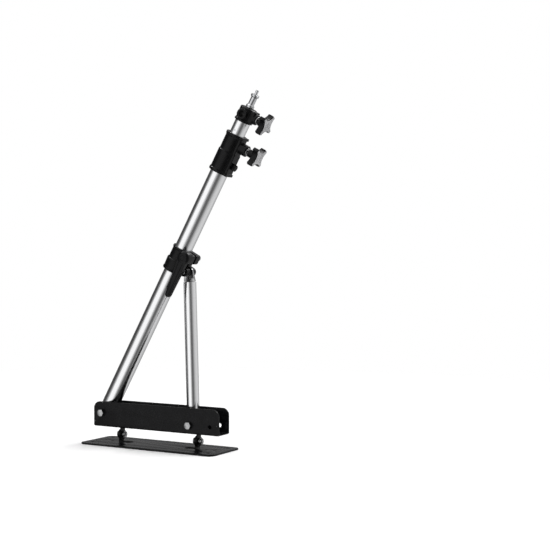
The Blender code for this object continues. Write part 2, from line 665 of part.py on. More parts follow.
def build_knob(name, pivot, station, phase, pad_low, hub_low, face):
    """Clamping knob on +X: pressure pad, screw, lobed grip and cap."""
    pad_high = pad_low + PAD_THICKNESS
    part(f"{name}_pad", cylinder(BOLT_RADIUS, pad_low, pad_high, "X", (0.0, station)), NYLON, pivot)
    lobe_high = face - CAP_THICKNESS - GAP
    lobe_low = lobe_high - LOBE_THICKNESS
    bore_end = lobe_low + KNOB_BORE_DEPTH
    part(f"{name}_screw", cylinder(BOLT_RADIUS, pad_high + GAP, bore_end - GAP, "X", (0.0, station)), ZINC, pivot)
    grip = part(f"{name}_knob_grip", prism([knob_outline(station, phase)], lobe_low, lobe_high, "X"),
                BLACK_PLASTIC, pivot)
    join(grip, cylinder(HUB_RADIUS, hub_low, lobe_low + OVERSHOOT, "X", (0.0, station)))
    cut(grip, cylinder(BOLT_HOLE, hub_low - OVERSHOOT, bore_end, "X", (0.0, station)))
    part(f"{name}_knob_cap", prism([knob_outline(station, phase, CAP_INSET)], lobe_high + GAP, face, "X"),
         GREY_CAP, pivot)


# ------------------------------------------------------------------------ head

def build_head(pivot):
    plug = INNER_RADIUS - WALL - ROUND_GAP
    rim = INNER_END + GAP
    profile = [
        (0.0, HEAD_END), (HEAD_RADIUS - HEAD_EDGE, HEAD_END), (HEAD_RADIUS, HEAD_END - HEAD_EDGE),
        (HEAD_RADIUS, rim + HEAD_RIM_HEIGHT + 1.0 * MM), (HEAD_RIM, rim + HEAD_RIM_HEIGHT), (HEAD_RIM, rim),
        (plug, rim), (plug, INNER_END - HEAD_PLUG_LENGTH), (0.0, INNER_END - HEAD_PLUG_LENGTH),
    ]
    head = turned("head_casting", profile, BLACK_PLASTIC, pivot)
    join(head, cylinder(CROSS_BOSS_RADIUS, -CROSS_BOSS_END, CROSS_BOSS_END, "Y", (0.0, CROSS_HOLE)))
    half = HEAD_BLOCK_HALF_WIDTH
    join(head, box((2.0 * MM, -half, rim + HEAD_RIM_HEIGHT), (HEAD_BLOCK_REACH, half, HEAD_END - 1.0 * MM)))
    join(head, cylinder(HEAD_BOSS_RADIUS, BOSS_ROOT, HEAD_BOSS_END, "X", (0.0, CROSS_HOLE)))
    cut(head, cylinder(CROSS_HOLE_RADIUS, -BORE_END, BORE_END, "Y", (0.0, CROSS_HOLE)))
    cut(head, cylinder(INSERT_RADIUS + GAP, HEAD_INSERT_SEAT, HEAD_BOSS_END + OVERSHOOT, "X", (0.0, CROSS_HOLE)))
    cut(head, cylinder(BOLT_HOLE, 0.0, HEAD_INSERT_SEAT + OVERSHOOT, "X", (0.0, CROSS_HOLE)))
    cut(head, cylinder(SPIGOT_STEM + 2 * GAP, HEAD_END - SPIGOT_SOCKET_DEPTH, HEAD_END + OVERSHOOT))
    cut(head, cylinder(RIVET_HOLE, -BORE_END, BORE_END, "Y", (0.0, HEAD_RIVET), 12))
    insert_size = (INSERT_RADIUS, HEAD_INSERT_SEAT + GAP, HEAD_BOSS_END + INSERT_PROUD)
    build_insert("head_insert", pivot, insert_size, CROSS_HOLE)
    flush = INNER_RADIUS - RIVET_SUNK
    part("head_rivet", cylinder(RIVET_RADIUS, -flush, flush, "Y", (0.0, HEAD_RIVET), 12), ZINC, pivot)
    base = HEAD_END + GAP
    spigot_profile = [(radius * MM, base + height * MM) for radius, height in SPIGOT_STEPS]
    stem_end = HEAD_END - SPIGOT_STEM_DEPTH
    spigot_profile += [(SPIGOT_STEM, base), (SPIGOT_STEM, stem_end), (0.0, stem_end)]
    turned("spigot", spigot_profile, CHROME, pivot, SMALL_ROUND)


# --------------------------------------------------------------- sliding clamp

def clamp_profile(low, step, high):
    """Sleeve with a flange at each end and a thicker lower half."""
    slope = CLAMP_FLANGE_SLOPE
    upper, lower = high - CLAMP_FLANGE, low + CLAMP_FLANGE
    return [
        (0.0, high), (CLAMP_TOP_RADIUS, high), (CLAMP_TOP_RADIUS, upper), (CLAMP_UPPER_RADIUS, upper - slope),
        (CLAMP_UPPER_RADIUS, step), (CLAMP_STEP_RADIUS, step - CLAMP_STEP_SLOPE),
        (CLAMP_LOWER_RADIUS, lower + slope), (CLAMP_BOTTOM_RADIUS, lower), (CLAMP_BOTTOM_RADIUS, low), (0.0, low),
    ]


def cheek_outline(pin, bolt):
    """Side view of one cheek: fork ear round the pin, bolt lug above it."""
    outline = [(CHEEK_ROOT, pin[1] - EAR_RADIUS)]
    outline += arc(pin, EAR_RADIUS, -90, 90, 14)
    outline += [(CHEEK_NOTCH, pin[1] + EAR_RADIUS), (CHEEK_NOTCH, bolt[1] - LUG_HALF)]
    corner = LUG_REACH - LUG_CORNER
    outline += arc((corner, bolt[1] - LUG_HALF + LUG_CORNER), LUG_CORNER, -90, 0, 5)
    outline += arc((corner, bolt[1] + LUG_TOP - LUG_CORNER), LUG_CORNER, 0, 90, 5)
    return outline + [(CHEEK_ROOT, bolt[1] + LUG_TOP)]


def build_clamp(pivot, pin):
    bolt = (CLAMP_BOLT_OFFSET, pin[1] + CLAMP_BOLT_ABOVE_PIN)
    centre = pin[1] + CLAMP_CENTRE_ABOVE_PIN
    low, high = centre - CLAMP_HALF, centre + CLAMP_HALF
    clamp = turned("clamp_body", clamp_profile(low, centre, high), BLACK_PLASTIC, pivot)
    join(clamp, prism([cheek_outline(pin, bolt)], -CHEEK_OUTER, CHEEK_OUTER, "Y"))
    cut(clamp, cylinder(CLAMP_BORE, low - OVERSHOOT, high + OVERSHOOT, sides=ROUND))
    slit_low = (SLIT_START, -CHEEK_INNER, low - OVERSHOOT)
    cut(clamp, box(slit_low, (SLIT_END, CHEEK_INNER, high + OVERSHOOT)))
    wide = CHEEK_OUTER * 2
    cut(clamp, cylinder(PIN_HOLE, -wide, wide, "Y", pin))
    cut(clamp, cylinder(BOLT_HOLE, -wide, wide, "Y", bolt))

    seat = CHEEK_OUTER + GAP
    hex_nut("clamp_nut", "Y", seat, bolt, pivot)
    shank = cylinder(BOLT_RADIUS, -LEVER_ROOT - OVERSHOOT, seat + NUT_THICKNESS + BOLT_END, "Y", bolt)
    insert = part("clamp_bolt", shank, ZINC, pivot)
    join(insert, cylinder(SPLINE_RADIUS, -SPLINE_END, -LEVER_ROOT, "Y", bolt, 12))
    cut(insert, cylinder(LEVER_SCREW + ROUND_GAP, -SPLINE_END - OVERSHOOT, -LEVER_ROOT, "Y", bolt, 16))

    pin_end = seat + SMALL_NUT_THICKNESS + BOLT_END
    hex_bolt("fork_pin", "Y", -seat, pin_end, pin, pivot, PIN_RADIUS, SMALL_HEX_RADIUS)
    nut_bore = PIN_RADIUS + ROUND_GAP
    hex_nut("fork_nut", "Y", seat, pin, pivot, nut_bore, SMALL_HEX_RADIUS, SMALL_NUT_THICKNESS)
    build_lever(pivot, bolt)


def build_lever(pivot, bolt):
    """Ratchet lever on the clamp bolt; it lifts off its splined insert to turn freely."""
    x, z = bolt
    root = -LEVER_ROOT - LEVER_LIFT_GAP
    lever = part("clamp_lever", cylinder(LEVER_HUB, -LEVER_FACE, root, "Y", bolt), BLACK_PLASTIC, pivot)
    tip = (x + BLADE_TIP_SHIFT, z - LEVER_LENGTH + BLADE_TIP_RADIUS)
    blade = [(x + BLADE_SIDES[1], z)] + arc(tip, BLADE_TIP_RADIUS, 0, -180, 8) + [(x - BLADE_SIDES[0], z)]
    join(lever, prism([blade], -LEVER_FACE + BLADE_DEPTHS[0], -LEVER_FACE + BLADE_DEPTHS[1], "Y"))
    cut(lever, cylinder(SPLINE_RADIUS + ROUND_GAP, -LEVER_WEB[0], root + OVERSHOOT, "Y", bolt, 12))
    cut(lever, cylinder(LEVER_BORE, -LEVER_FACE - OVERSHOOT, -LEVER_WEB[1], "Y", bolt, 16))
    cut(lever, cylinder(LEVER_SCREW + ROUND_GAP, -LEVER_WEB[1] - OVERSHOOT, root, "Y", bolt, 16))
    screw_head = cylinder(SCREW_HEAD_RADIUS, -SCREW_HEAD[1], -SCREW_HEAD[0], "Y", bolt, 16)
    screw = part("lever_screw", screw_head, ZINC, pivot)
    join(screw, cylinder(LEVER_SCREW, -SCREW_HEAD[0] - 1.0 * MM, -LEVER_ROOT - 0.4 * MM, "Y", bolt, 16))
    cap_end = -LEVER_FACE + LEVER_CAP_THICKNESS
    part("lever_cap", cylinder(LEVER_BORE - 1.2 * GAP, -LEVER_FACE, cap_end, "Y", bolt, 16), BLACK_PLASTIC, pivot)


# --------------------------------------------------------------- support strut

def tongue_outline(pin):
    """Flat strap: narrow inside the tube, full width at its mouth, round at the pin."""
    shoulder = SUPPORT_END + GAP
    full = SUPPORT_RADIUS - RIVET_SUNK
    bottom = SUPPORT_END - TONGUE_DEPTH
    eye = (pin[0] + SLOT_TRAVEL / 2, pin[1])
    outline = [(-TONGUE_STEM, bottom), (TONGUE_STEM, bottom), (TONGUE_STEM, shoulder)]
    outline += [(full, shoulder + SHOULDER_SLOPE), (full, shoulder + 2.0 * MM)]
    outline += arc(eye, TONGUE_EYE, 10, 180, 14)
    outline += [(-full, shoulder + 4.0 * MM), (-full, shoulder + SHOULDER_SLOPE)]
    return outline + [(-TONGUE_STEM, shoulder)]


def slot_outline(pin):
    radius = PIN_RADIUS + SLOT_SLACK
    outline = arc(pin, radius, 90, 270, 8)
    return outline + arc((pin[0] + SLOT_TRAVEL, pin[1]), radius, -90, 90, 8)


def build_support(pivot):
    pin = (PIN_SIDESTEP, PIN_STATION)
    rivet = SUPPORT_END - TOP_RIVET_DEPTH
    wide = SUPPORT_RADIUS * 2
    tube = turned("support_tube", ring(SUPPORT_RADIUS, SUPPORT_RADIUS - WALL, SUPPORT_START, SUPPORT_END),
                  ALUMINIUM, pivot)
    for height in (SUPPORT_FOOT_RIVET, rivet):
        cut(tube, cylinder(RIVET_HOLE, -wide, wide, "Y", (0.0, height), 12))
    foot_plug("support_foot_plug", pivot, SUPPORT_RADIUS, SUPPORT_START, SUPPORT_FOOT_SPIGOT_END,
              SUPPORT_FOOT_HALF_WIDTH, SUPPORT_FOOT_RIVET)
    flush = SUPPORT_RADIUS - RIVET_SUNK
    for name, height in (("support_foot_rivet", SUPPORT_FOOT_RIVET), ("support_top_rivet", rivet)):
        part(name, cylinder(RIVET_RADIUS, -flush, flush, "Y", (0.0, height), 12), ZINC, pivot)

    half = TONGUE_THICKNESS / 2
    tongue = part("support_tongue", prism([tongue_outline(pin), slot_outline(pin)], -half, half, "Y"), ZINC, pivot)
    cut(tongue, cylinder(RIVET_HOLE, -wide, wide, "Y", (0.0, rivet), 12))
    plug_radius = SUPPORT_RADIUS - WALL - ROUND_GAP
    plug_ends = (SUPPORT_END - TOP_PLUG_DEPTH, SUPPORT_END - TOP_PLUG_SUNK)
    plug = part("support_top_plug", cylinder(plug_radius, *plug_ends, sides=ROUND), NYLON, pivot)
    pocket = (TONGUE_STEM + ROUND_GAP, half + GAP)
    cut(plug, box((-pocket[0], -pocket[1], SUPPORT_END - TONGUE_DEPTH - ROUND_GAP), (*pocket, SUPPORT_END)))
    cut(plug, cylinder(RIVET_HOLE, -wide, wide, "Y", (0.0, rivet), 12))


# --------------------------------------------------------------- the whole arm

def weld_cut_parts():
    """Closes the hairline splits that a Boolean can leave along shared edges."""
    for item in PARTS.objects:
        if any(modifier.type == "BOOLEAN" for modifier in item.modifiers):
            weld = item.modifiers.new("weld", "WELD")
            weld.merge_threshold = 0.00001


def strut_angle_and_pin():
    """Where the fork pin sits along the arm, and how the strut then leans.

    The pin lies FORK_OFFSET to the side of the arm and at the strut's fixed
    length from the support pivot, which gives its distance along the arm."""
    lean = math.radians(ARM_ANGLE)
    along_arm = (math.cos(lean), math.sin(lean))
    across = (math.sin(lean), -math.cos(lean))
    to_support = (SUPPORT_PIVOT_X - ARM_PIVOT_X, SUPPORT_PIVOT_Z - ARM_PIVOT_Z)
    reach = math.hypot(PIN_STATION, PIN_SIDESTEP)
    base = to_support[0] * along_arm[0] + to_support[1] * along_arm[1]
    side = to_support[0] * across[0] + to_support[1] * across[1] - FORK_OFFSET
    station = base + math.sqrt(reach ** 2 - side ** 2)
    pin_x = ARM_PIVOT_X + station * along_arm[0] + FORK_OFFSET * across[0]
    pin_z = ARM_PIVOT_Z + station * along_arm[1] + FORK_OFFSET * across[1]
    direction = math.degrees(math.atan2(pin_z - SUPPORT_PIVOT_Z, pin_x - SUPPORT_PIVOT_X))
    return direction + math.degrees(math.atan2(PIN_SIDESTEP, PIN_STATION)), station


def build_all():
    build_wall_plate()
    build_hinge_hardware()
    build_channel()
    build_pivot_hardware()

    strut_angle, pin_station = strut_angle_and_pin()
    arm = pivot_frame("arm_pivot", ARM_PIVOT_X, ARM_PIVOT_Z, ARM_ANGLE)
    support = pivot_frame("support_pivot", SUPPORT_PIVOT_X, SUPPORT_PIVOT_Z, strut_angle)
    build_arm_tubes(arm)
    build_collar(arm)
    build_head(arm)
    build_knob("collar", arm, COLLAR_KNOB, COLLAR_KNOB_PHASE, INNER_RADIUS + GAP, COLLAR_KNOB_HUB,
               COLLAR_KNOB_FACE)
    build_knob("head", arm, CROSS_HOLE, HEAD_KNOB_PHASE, CROSS_HOLE_RADIUS + GAP, HEAD_KNOB_HUB,
               HEAD_KNOB_FACE)
    build_clamp(arm, (FORK_OFFSET, pin_station))
    build_support(support)
    weld_cut_parts()


build_all()
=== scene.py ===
import json
import math

import bmesh
import bpy
from mathutils import Matrix, Vector


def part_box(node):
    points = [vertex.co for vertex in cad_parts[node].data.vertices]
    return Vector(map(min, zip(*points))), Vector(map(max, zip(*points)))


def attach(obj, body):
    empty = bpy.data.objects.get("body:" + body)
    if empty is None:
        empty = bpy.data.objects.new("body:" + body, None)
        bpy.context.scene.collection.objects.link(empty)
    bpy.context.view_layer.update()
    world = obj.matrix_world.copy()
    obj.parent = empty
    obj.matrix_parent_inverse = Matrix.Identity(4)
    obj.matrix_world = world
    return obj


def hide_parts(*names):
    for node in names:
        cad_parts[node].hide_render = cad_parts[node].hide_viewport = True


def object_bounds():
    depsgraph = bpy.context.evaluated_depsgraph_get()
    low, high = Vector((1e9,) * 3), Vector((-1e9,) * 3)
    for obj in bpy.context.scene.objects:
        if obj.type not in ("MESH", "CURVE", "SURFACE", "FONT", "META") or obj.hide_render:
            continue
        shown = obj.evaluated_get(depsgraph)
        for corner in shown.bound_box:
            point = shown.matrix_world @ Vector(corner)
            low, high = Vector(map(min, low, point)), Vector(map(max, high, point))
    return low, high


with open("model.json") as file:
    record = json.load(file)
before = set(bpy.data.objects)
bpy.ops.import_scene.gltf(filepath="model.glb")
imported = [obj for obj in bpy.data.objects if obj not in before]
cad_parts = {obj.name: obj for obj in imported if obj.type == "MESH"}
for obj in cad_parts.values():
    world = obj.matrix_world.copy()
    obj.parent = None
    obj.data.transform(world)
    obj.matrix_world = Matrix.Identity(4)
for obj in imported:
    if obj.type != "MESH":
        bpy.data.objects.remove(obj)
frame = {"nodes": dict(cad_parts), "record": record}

MM = 0.001
CAD_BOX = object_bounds()
NODES = frame["nodes"]
BEHAVIOUR = frame["record"]["behaviour"]
JOINTS = {joint["name"]: joint for joint in BEHAVIOUR["joints"]}
BODY_OF = {node: body for body, nodes in BEHAVIOUR["bodies"].items() for node in nodes}
SLOT_OF = {part["node"]: part["material_slot"] for part in frame["record"]["subparts"]}

# Sides of round pieces, from castings and tubes down to thin pins. A hexagon's
# count divides by six, so that its corners fall on vertices.
FINE = 96
SMALL = 64
SCREW_SIDES = 48
PIN_SIDES = 32
HEX_SIDES = 72
RIM_STEPS = 4

# A cutter's rims stay sharp, and it runs on past the piece that it cuts. Solids
# of one piece overlap.
SHARP = 0.01 * MM
PAST = 5.0 * MM
THROUGH = 40.0 * MM
OVERLAP = 1.0 * MM

# Angles in degrees above which an edge is shaded sharp, or bevelled.
PIECE_ANGLE = 35.0
FIXING_ANGLE = 30.0
CASTING_ANGLE = 42.0
BEVEL_ANGLE = 42.0


# ---------------------------------------------------------------------- frames

def member_frame(pivot, direction):
    """Frame at the pivot with Z along the member and X across it in the XZ plane."""
    along = direction.normalized()
    across = Vector((along.z, 0.0, -along.x))
    matrix = Matrix.Identity(4)
    for row in range(3):
        matrix[row][0] = across[row]
        matrix[row][1] = (0.0, 1.0, 0.0)[row]
        matrix[row][2] = along[row]
        matrix[row][3] = pivot[row]
    return matrix


def middle(node):
    low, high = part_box(node)
    return (low + high) / 2


def local_box(node, matrix):
    """Lowest and highest corner of a CAD node in a member's frame."""
    inverse = matrix.inverted()
    points = [inverse @ vertex.co for vertex in NODES[node].data.vertices]
    low = Vector([min(point[i] for point in points) for i in range(3)])
    high = Vector([max(point[i] for point in points) for i in range(3)])
    return low, high


def flat_centre(low, high, axis):
    """Middle of a box, seen along an axis."""
    return tuple((low[i] + high[i]) / 2 for i in range(3) if i != "XYZ".index(axis))


def station(node):
    """How far up the arm a node's middle is."""
    low, high = local_box(node, ARM)
    return (low.z + high.z) / 2


WORLD = Matrix.Identity(4)
ARM = member_frame(Vector(JOINTS["arm_tilt"]["pos_m"]), Vector(JOINTS["clamp_slide"]["axis"]))
STRUT_PIVOT = Vector(JOINTS["strut_tilt"]["pos_m"])
STRUT = member_frame(STRUT_PIVOT, middle("support_tube") - STRUT_PIVOT)


# ------------------------------------------------------------------- materials

# The noise's values lie mostly inside these spans, which are stretched to a look's limits.
COLOUR_SPAN = (0.35, 0.65)
ROUGHNESS_SPAN = (0.3, 0.7)


class Look:
    """Node material with small helpers for procedural detail in object space."""

    def __init__(self, name, turn=None):
        self.material = bpy.data.materials.new(name)
        self.material.use_nodes = True
        self.tree = self.material.node_tree
        self.shader = self.tree.nodes["Principled BSDF"]
        coordinates = self.tree.nodes.new("ShaderNodeTexCoord")
        self.place = coordinates.outputs["Object"]
        if turn is not None:
            straight = self.tree.nodes.new("ShaderNodeMapping")
            straight.inputs["Rotation"].default_value = turn
            self.tree.links.new(self.place, straight.inputs["Vector"])
            self.place = straight.outputs["Vector"]

    def set(self, **values):
        for key, value in values.items():
            self.shader.inputs[key.replace("_", " ")].default_value = value
        return self

    def noise(self, scale, detail=3.0, stretch=(1.0, 1.0, 1.0)):
        mapping = self.tree.nodes.new("ShaderNodeMapping")
        mapping.inputs["Scale"].default_value = stretch
        texture = self.tree.nodes.new("ShaderNodeTexNoise")
        texture.inputs["Scale"].default_value = scale
        texture.inputs["Detail"].default_value = detail
        self.tree.links.new(self.place, mapping.inputs["Vector"])
        self.tree.links.new(mapping.outputs["Vector"], texture.inputs["Vector"])
        return texture.outputs["Fac"]

    def colour(self, field, dark, light):
        ramp = self.tree.nodes.new("ShaderNodeValToRGB")
        for stop, position, colour in zip(ramp.color_ramp.elements, COLOUR_SPAN, (dark, light)):
            stop.position = position
            stop.color = (*colour, 1.0)
        self.tree.links.new(field, ramp.inputs["Fac"])
        self.tree.links.new(ramp.outputs["Color"], self.shader.inputs["Base Color"])
        return self

    def roughness(self, field, low, high):
        spread = self.tree.nodes.new("ShaderNodeMapRange")
        spread.inputs["From Min"].default_value = ROUGHNESS_SPAN[0]
        spread.inputs["From Max"].default_value = ROUGHNESS_SPAN[1]
        spread.inputs["To Min"].default_value = low
        spread.inputs["To Max"].default_value = high
        self.tree.links.new(field, spread.inputs["Value"])
        self.tree.links.new(spread.outputs["Result"], self.shader.inputs["Roughness"])
        return self

    def bump(self, field, strength, depth):
        bump = self.tree.nodes.new("ShaderNodeBump")
        bump.inputs["Strength"].default_value = strength
        bump.inputs["Distance"].default_value = depth
        self.tree.links.new(field, bump.inputs["Height"])
        self.tree.links.new(bump.outputs["Normal"], self.shader.inputs["Normal"])
        return self


def powder_coat():
    look = Look("powder_coat").set(Metallic=0.0, Specular_IOR_Level=0.13)
    look.colour(look.noise(55.0), (0.0030, 0.0030, 0.0034), (0.0056, 0.0056, 0.0061))
    look.roughness(look.noise(240.0, 4.0), 0.22, 0.32)
    return look.bump(look.noise(950.0, 2.0), 0.10, 0.10 * MM).material


def moulded(name, dark, light, rough, grain):
    look = Look(name).set(Metallic=0.0, Specular_IOR_Level=0.16)
    look.colour(look.noise(70.0), dark, light)
    look.roughness(look.noise(310.0, 4.0), rough - 0.05, rough + 0.07)
    return look.bump(look.noise(grain, 3.0), 0.12, 0.10 * MM).material


def drawn_aluminium(name, matrix):
    """Satin tube with fine lines along its length."""
    lean = math.atan2(matrix[0][2], matrix[2][2])
    look = Look(name, (0.0, -lean, 0.0)).set(Metallic=1.0)
    look.colour(look.noise(26.0, 3.0, (1.0, 1.0, 0.05)), (0.80, 0.805, 0.81), (0.87, 0.87, 0.875))
    look.roughness(look.noise(300.0, 3.0, (1.0, 1.0, 0.02)), 0.17, 0.23)
    return look.bump(look.noise(900.0, 2.0, (1.0, 1.0, 0.008)), 0.03, 0.02 * MM).material


def plated(name, dark, light, rough, spread):
    look = Look(name).set(Metallic=1.0)
    look.colour(look.noise(180.0, 3.0), dark, light)
    look.roughness(look.noise(520.0, 4.0), rough, rough + spread)
    return look.bump(look.noise(1300.0, 3.0), 0.06, 0.05 * MM).material


LOOKS = {
    "black_powder_coat": powder_coat(),
    "black_plastic": moulded(
        "black_plastic", (0.0028, 0.0028, 0.0031), (0.0052, 0.0052, 0.0056), 0.26, 1200.0),
    "grey_cap": moulded("grey_cap", (0.37, 0.37, 0.375), (0.47, 0.47, 0.475), 0.34, 1600.0),
    "dark_nylon": moulded("dark_nylon", (0.022, 0.022, 0.023), (0.034, 0.034, 0.035), 0.50, 900.0),
    "zinc_steel": plated("zinc_steel", (0.30, 0.305, 0.31), (0.44, 0.44, 0.44), 0.16, 0.14),
    "chrome_steel": plated("chrome_steel", (0.52, 0.53, 0.54), (0.64, 0.64, 0.65), 0.06, 0.08),
}
TUBE_LOOKS = {
    "arm": drawn_aluminium("arm_aluminium", ARM),
    "strut": drawn_aluminium("strut_aluminium", STRUT),
}


def look_for(node):
    if SLOT_OF[node] == "satin_aluminium":
        return TUBE_LOOKS["strut" if BODY_OF[node] == "strut" else "arm"]
    return LOOKS[SLOT_OF[node]]


# ---------------------------------------------------------------------- shapes

CORNER_SHARE = 0.45
CAP_SHARE = 0.5
BLOCK_RIM = 0.8 * MM

# A hexagon's chamfer, as shares of half its width across flats.
CHAMFER_START = 0.97
CHAMFER_FACE = 0.95
CHAMFER_SLOPE = math.tan(math.radians(30.0))

# A thread's root and its two ends, as shares of its radius, and a ridge's flanks
# and crest, as shares of its pitch.
THREAD_ROOT = 0.88
THREAD_START = 0.6
THREAD_TIP = (0.84, 0.5)
RIDGE = (0.15, 0.5, 0.85)


def rounded(points, radius, steps=4, closed=False):
    """Outline with its corners rounded; the two ends of an open one stay put."""
    result = []
    count = len(points)
    for i, point in enumerate(points):
        if not closed and i in (0, count - 1):
            result.append(point)
            continue
        here = Vector(point)
        before = Vector(points[i - 1]) - here
        after = Vector(points[(i + 1) % count]) - here
        reach = min(radius, before.length * CORNER_SHARE, after.length * CORNER_SHARE)
        start, end = here + before.normalized() * reach, here + after.normalized() * reach
        for k in range(steps + 1):
            t = k / steps
            result.append(tuple(start * (1 - t) ** 2 + here * 2 * t * (1 - t) + end * t ** 2))
    return result


def arc(centre, radius, start, end, steps=12):
    points = []
    for i in range(steps + 1):
        angle = math.radians(start + (end - start) * i / steps)
        points.append((centre[0] + radius * math.cos(angle), centre[1] + radius * math.sin(angle)))
    return points


def fluted(centre, radius, depth, flutes=24):
    """Round outline with shallow grip flutes."""
    points = []
    for k in range(FINE):
        angle = 2 * math.pi * k / FINE
        reach = radius + depth * math.cos(flutes * angle)
        points.append((centre[0] + reach * math.cos(angle), centre[1] + reach * math.sin(angle)))
    return points


def place(axis, centre, flat, height):
    """Point at flat = (first, second) from the centre, height along the axis."""
    a, b = centre[0] + flat[0], centre[1] + flat[1]
    if axis == "X":
        return (height, a, b)
    if axis == "Y":
        return (a, height, b)
    return (a, b, height)


def skin(shape, rings, ends=True, loop=False):
    """Joins rings of vertices with quads, and closes the ends."""
    count = len(rings)
    for i in range(count if loop else count - 1):
        first, second = rings[i], rings[(i + 1) % count]
        for k in range(len(first)):
            n = (k + 1) % len(first)
            shape.faces.new((first[k], first[n], second[n], second[k]))
    if ends and not loop:
        shape.faces.new(list(reversed(rings[0])))
        shape.faces.new(rings[-1])


def lathe(shape, profile, axis="Z", centre=(0.0, 0.0), sides=FINE, loop=False):
    """Turned body from (radius, height) pairs, lowest first for a solid one."""
    rings = []
    for radius, height in profile:
        ring = []
        for k in range(sides):
            angle = 2 * math.pi * k / sides
            flat = (radius * math.cos(angle), radius * math.sin(angle))
            ring.append(shape.verts.new(place(axis, centre, flat, height)))
        rings.append(ring)
    skin(shape, rings, loop=loop)


def rod(shape, radius, low, high, axis="Z", centre=(0.0, 0.0), edge=0.6 * MM, sides=SMALL):
    cap = radius * CAP_SHARE
    ends = [(cap, low), (radius, low), (radius, high), (cap, high)]
    lathe(shape, rounded(ends, edge), axis, centre, sides)


def pipe(shape, outer, inner, low, high, axis="Z", centre=(0.0, 0.0), edge=0.3 * MM, sides=FINE):
    loop = [(outer, low), (outer, high), (inner, high), (inner, low)]
    lathe(shape, rounded(loop, edge, 3, True), axis, centre, sides, True)


def slab(shape, outline, low, high, axis, edge=0.0, scale_about=None):
    """Extruded outline; an edge rounds both rims by drawing the outline in."""
    levels = [(low, 0.0), (high, 0.0)]
    if edge:
        turn = [math.pi / 2 * k / RIM_STEPS for k in range(RIM_STEPS + 1)]
        levels = [(low + edge * (1 - math.cos(angle)), edge * (1 - math.sin(angle))) for angle in turn]
        levels += [(low + high - height, inset) for height, inset in reversed(levels)]
    count = len(outline)
    centre = scale_about or (sum(p[0] for p in outline) / count, sum(p[1] for p in outline) / count)
    rings = []
    for height, inset in levels:
        ring = []
        for a, b in outline:
            da, db = a - centre[0], b - centre[1]
            length = math.hypot(da, db)
            keep = (length - inset) / length
            ring.append(shape.verts.new(place(axis, centre, (da * keep, db * keep), height)))
        rings.append(ring)
    skin(shape, rings)


def block(shape, low, high, edge):
    """Box with rounded upright edges and softened rims, standing along Z."""
    corners = [(low[0], low[1]), (high[0], low[1]), (high[0], high[1]), (low[0], high[1])]
    slab(shape, rounded(corners, edge, 4, True), low[2], high[2], "Z", min(edge, BLOCK_RIM))


def hexagon(shape, radius, low, high, axis, centre, bore=0.0, low_chamfer=True, high_chamfer=True):
    """Hexagon with its corners chamfered on the chosen ends; radius is to a corner."""
    flat = radius * math.cos(math.pi / 6)
    top, bottom, inner_top, inner_bottom = [], [], [], []
    flat_top, flat_bottom = [], []
    for k in range(HEX_SIDES):
        angle = 2 * math.pi * k / HEX_SIDES
        off = (math.degrees(angle) % 60.0) - 30.0
        reach = flat / math.cos(math.radians(off))
        drop = (reach - flat * CHAMFER_START) * CHAMFER_SLOPE
        direction = (math.cos(angle), math.sin(angle))

        def vertex(distance, height):
            offset = (direction[0] * distance, direction[1] * distance)
            return shape.verts.new(place(axis, centre, offset, height))

        top.append(vertex(reach, high - (drop if high_chamfer else 0.0)))
        bottom.append(vertex(reach, low + (drop if low_chamfer else 0.0)))
        flat_top.append(vertex(flat * CHAMFER_FACE, high))
        flat_bottom.append(vertex(flat * CHAMFER_FACE, low))
        if bore:
            inner_top.append(vertex(bore, high))
            inner_bottom.append(vertex(bore, low))
    if bore:
        skin(shape, [flat_bottom, bottom, top, flat_top, inner_top, inner_bottom], loop=True)
    else:
        skin(shape, [flat_bottom, bottom, top, flat_top])


def thread(shape, radius, low, high, axis, centre, pitch=1.25 * MM):
    """Plain rod with thread-like ridges and a chamfered far end."""
    root = radius * THREAD_ROOT
    profile = [(radius * THREAD_START, low), (root, low)]
    turns = max(1, int((high - low) / pitch))
    step = (high - low) / turns
    for k in range(turns):
        for share, distance in zip(RIDGE, (root, radius, root)):
            profile.append((distance, low + (k + share) * step))
    profile += [(radius * share, high) for share in THREAD_TIP]
    lathe(shape, profile, axis, centre, SCREW_SIDES)


def cutter(radius, low, high, axis="Z", centre=(0.0, 0.0), sides=SMALL):
    return lambda shape: rod(shape, radius, low, high, axis, centre, SHARP, sides)


# ------------------------------------------------------------------- finishing

def to_object(name, shape, matrix):
    bmesh.ops.recalc_face_normals(shape, faces=shape.faces)
    bmesh.ops.transform(shape, matrix=matrix, verts=shape.verts)
    mesh = bpy.data.meshes.new(name)
    shape.to_mesh(mesh)
    shape.free()
    item = bpy.data.objects.new(name, mesh)
    bpy.context.scene.collection.objects.link(item)
    return item


def apply_modifiers(item):
    bpy.context.view_layer.update()
    graph = bpy.context.evaluated_depsgraph_get()
    mesh = bpy.data.meshes.new_from_object(item.evaluated_get(graph))
    item.modifiers.clear()
    item.data = mesh


def dress(item, node, *others, angle=PIECE_ANGLE):
    """Gives a piece its look, body and slot, and lets it stand for CAD nodes."""
    item.data.materials.clear()
    item.data.materials.append(look_for(node))
    item.data.shade_smooth()
    item.data.set_sharp_from_angle(angle=math.radians(angle))
    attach(item, BODY_OF[node])
    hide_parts(node, *others)


def made(name, node, matrix, build, angle=PIECE_ANGLE):
    shape = bmesh.new()
    build(shape)
    dress(to_object(name, shape, matrix), node, angle=angle)


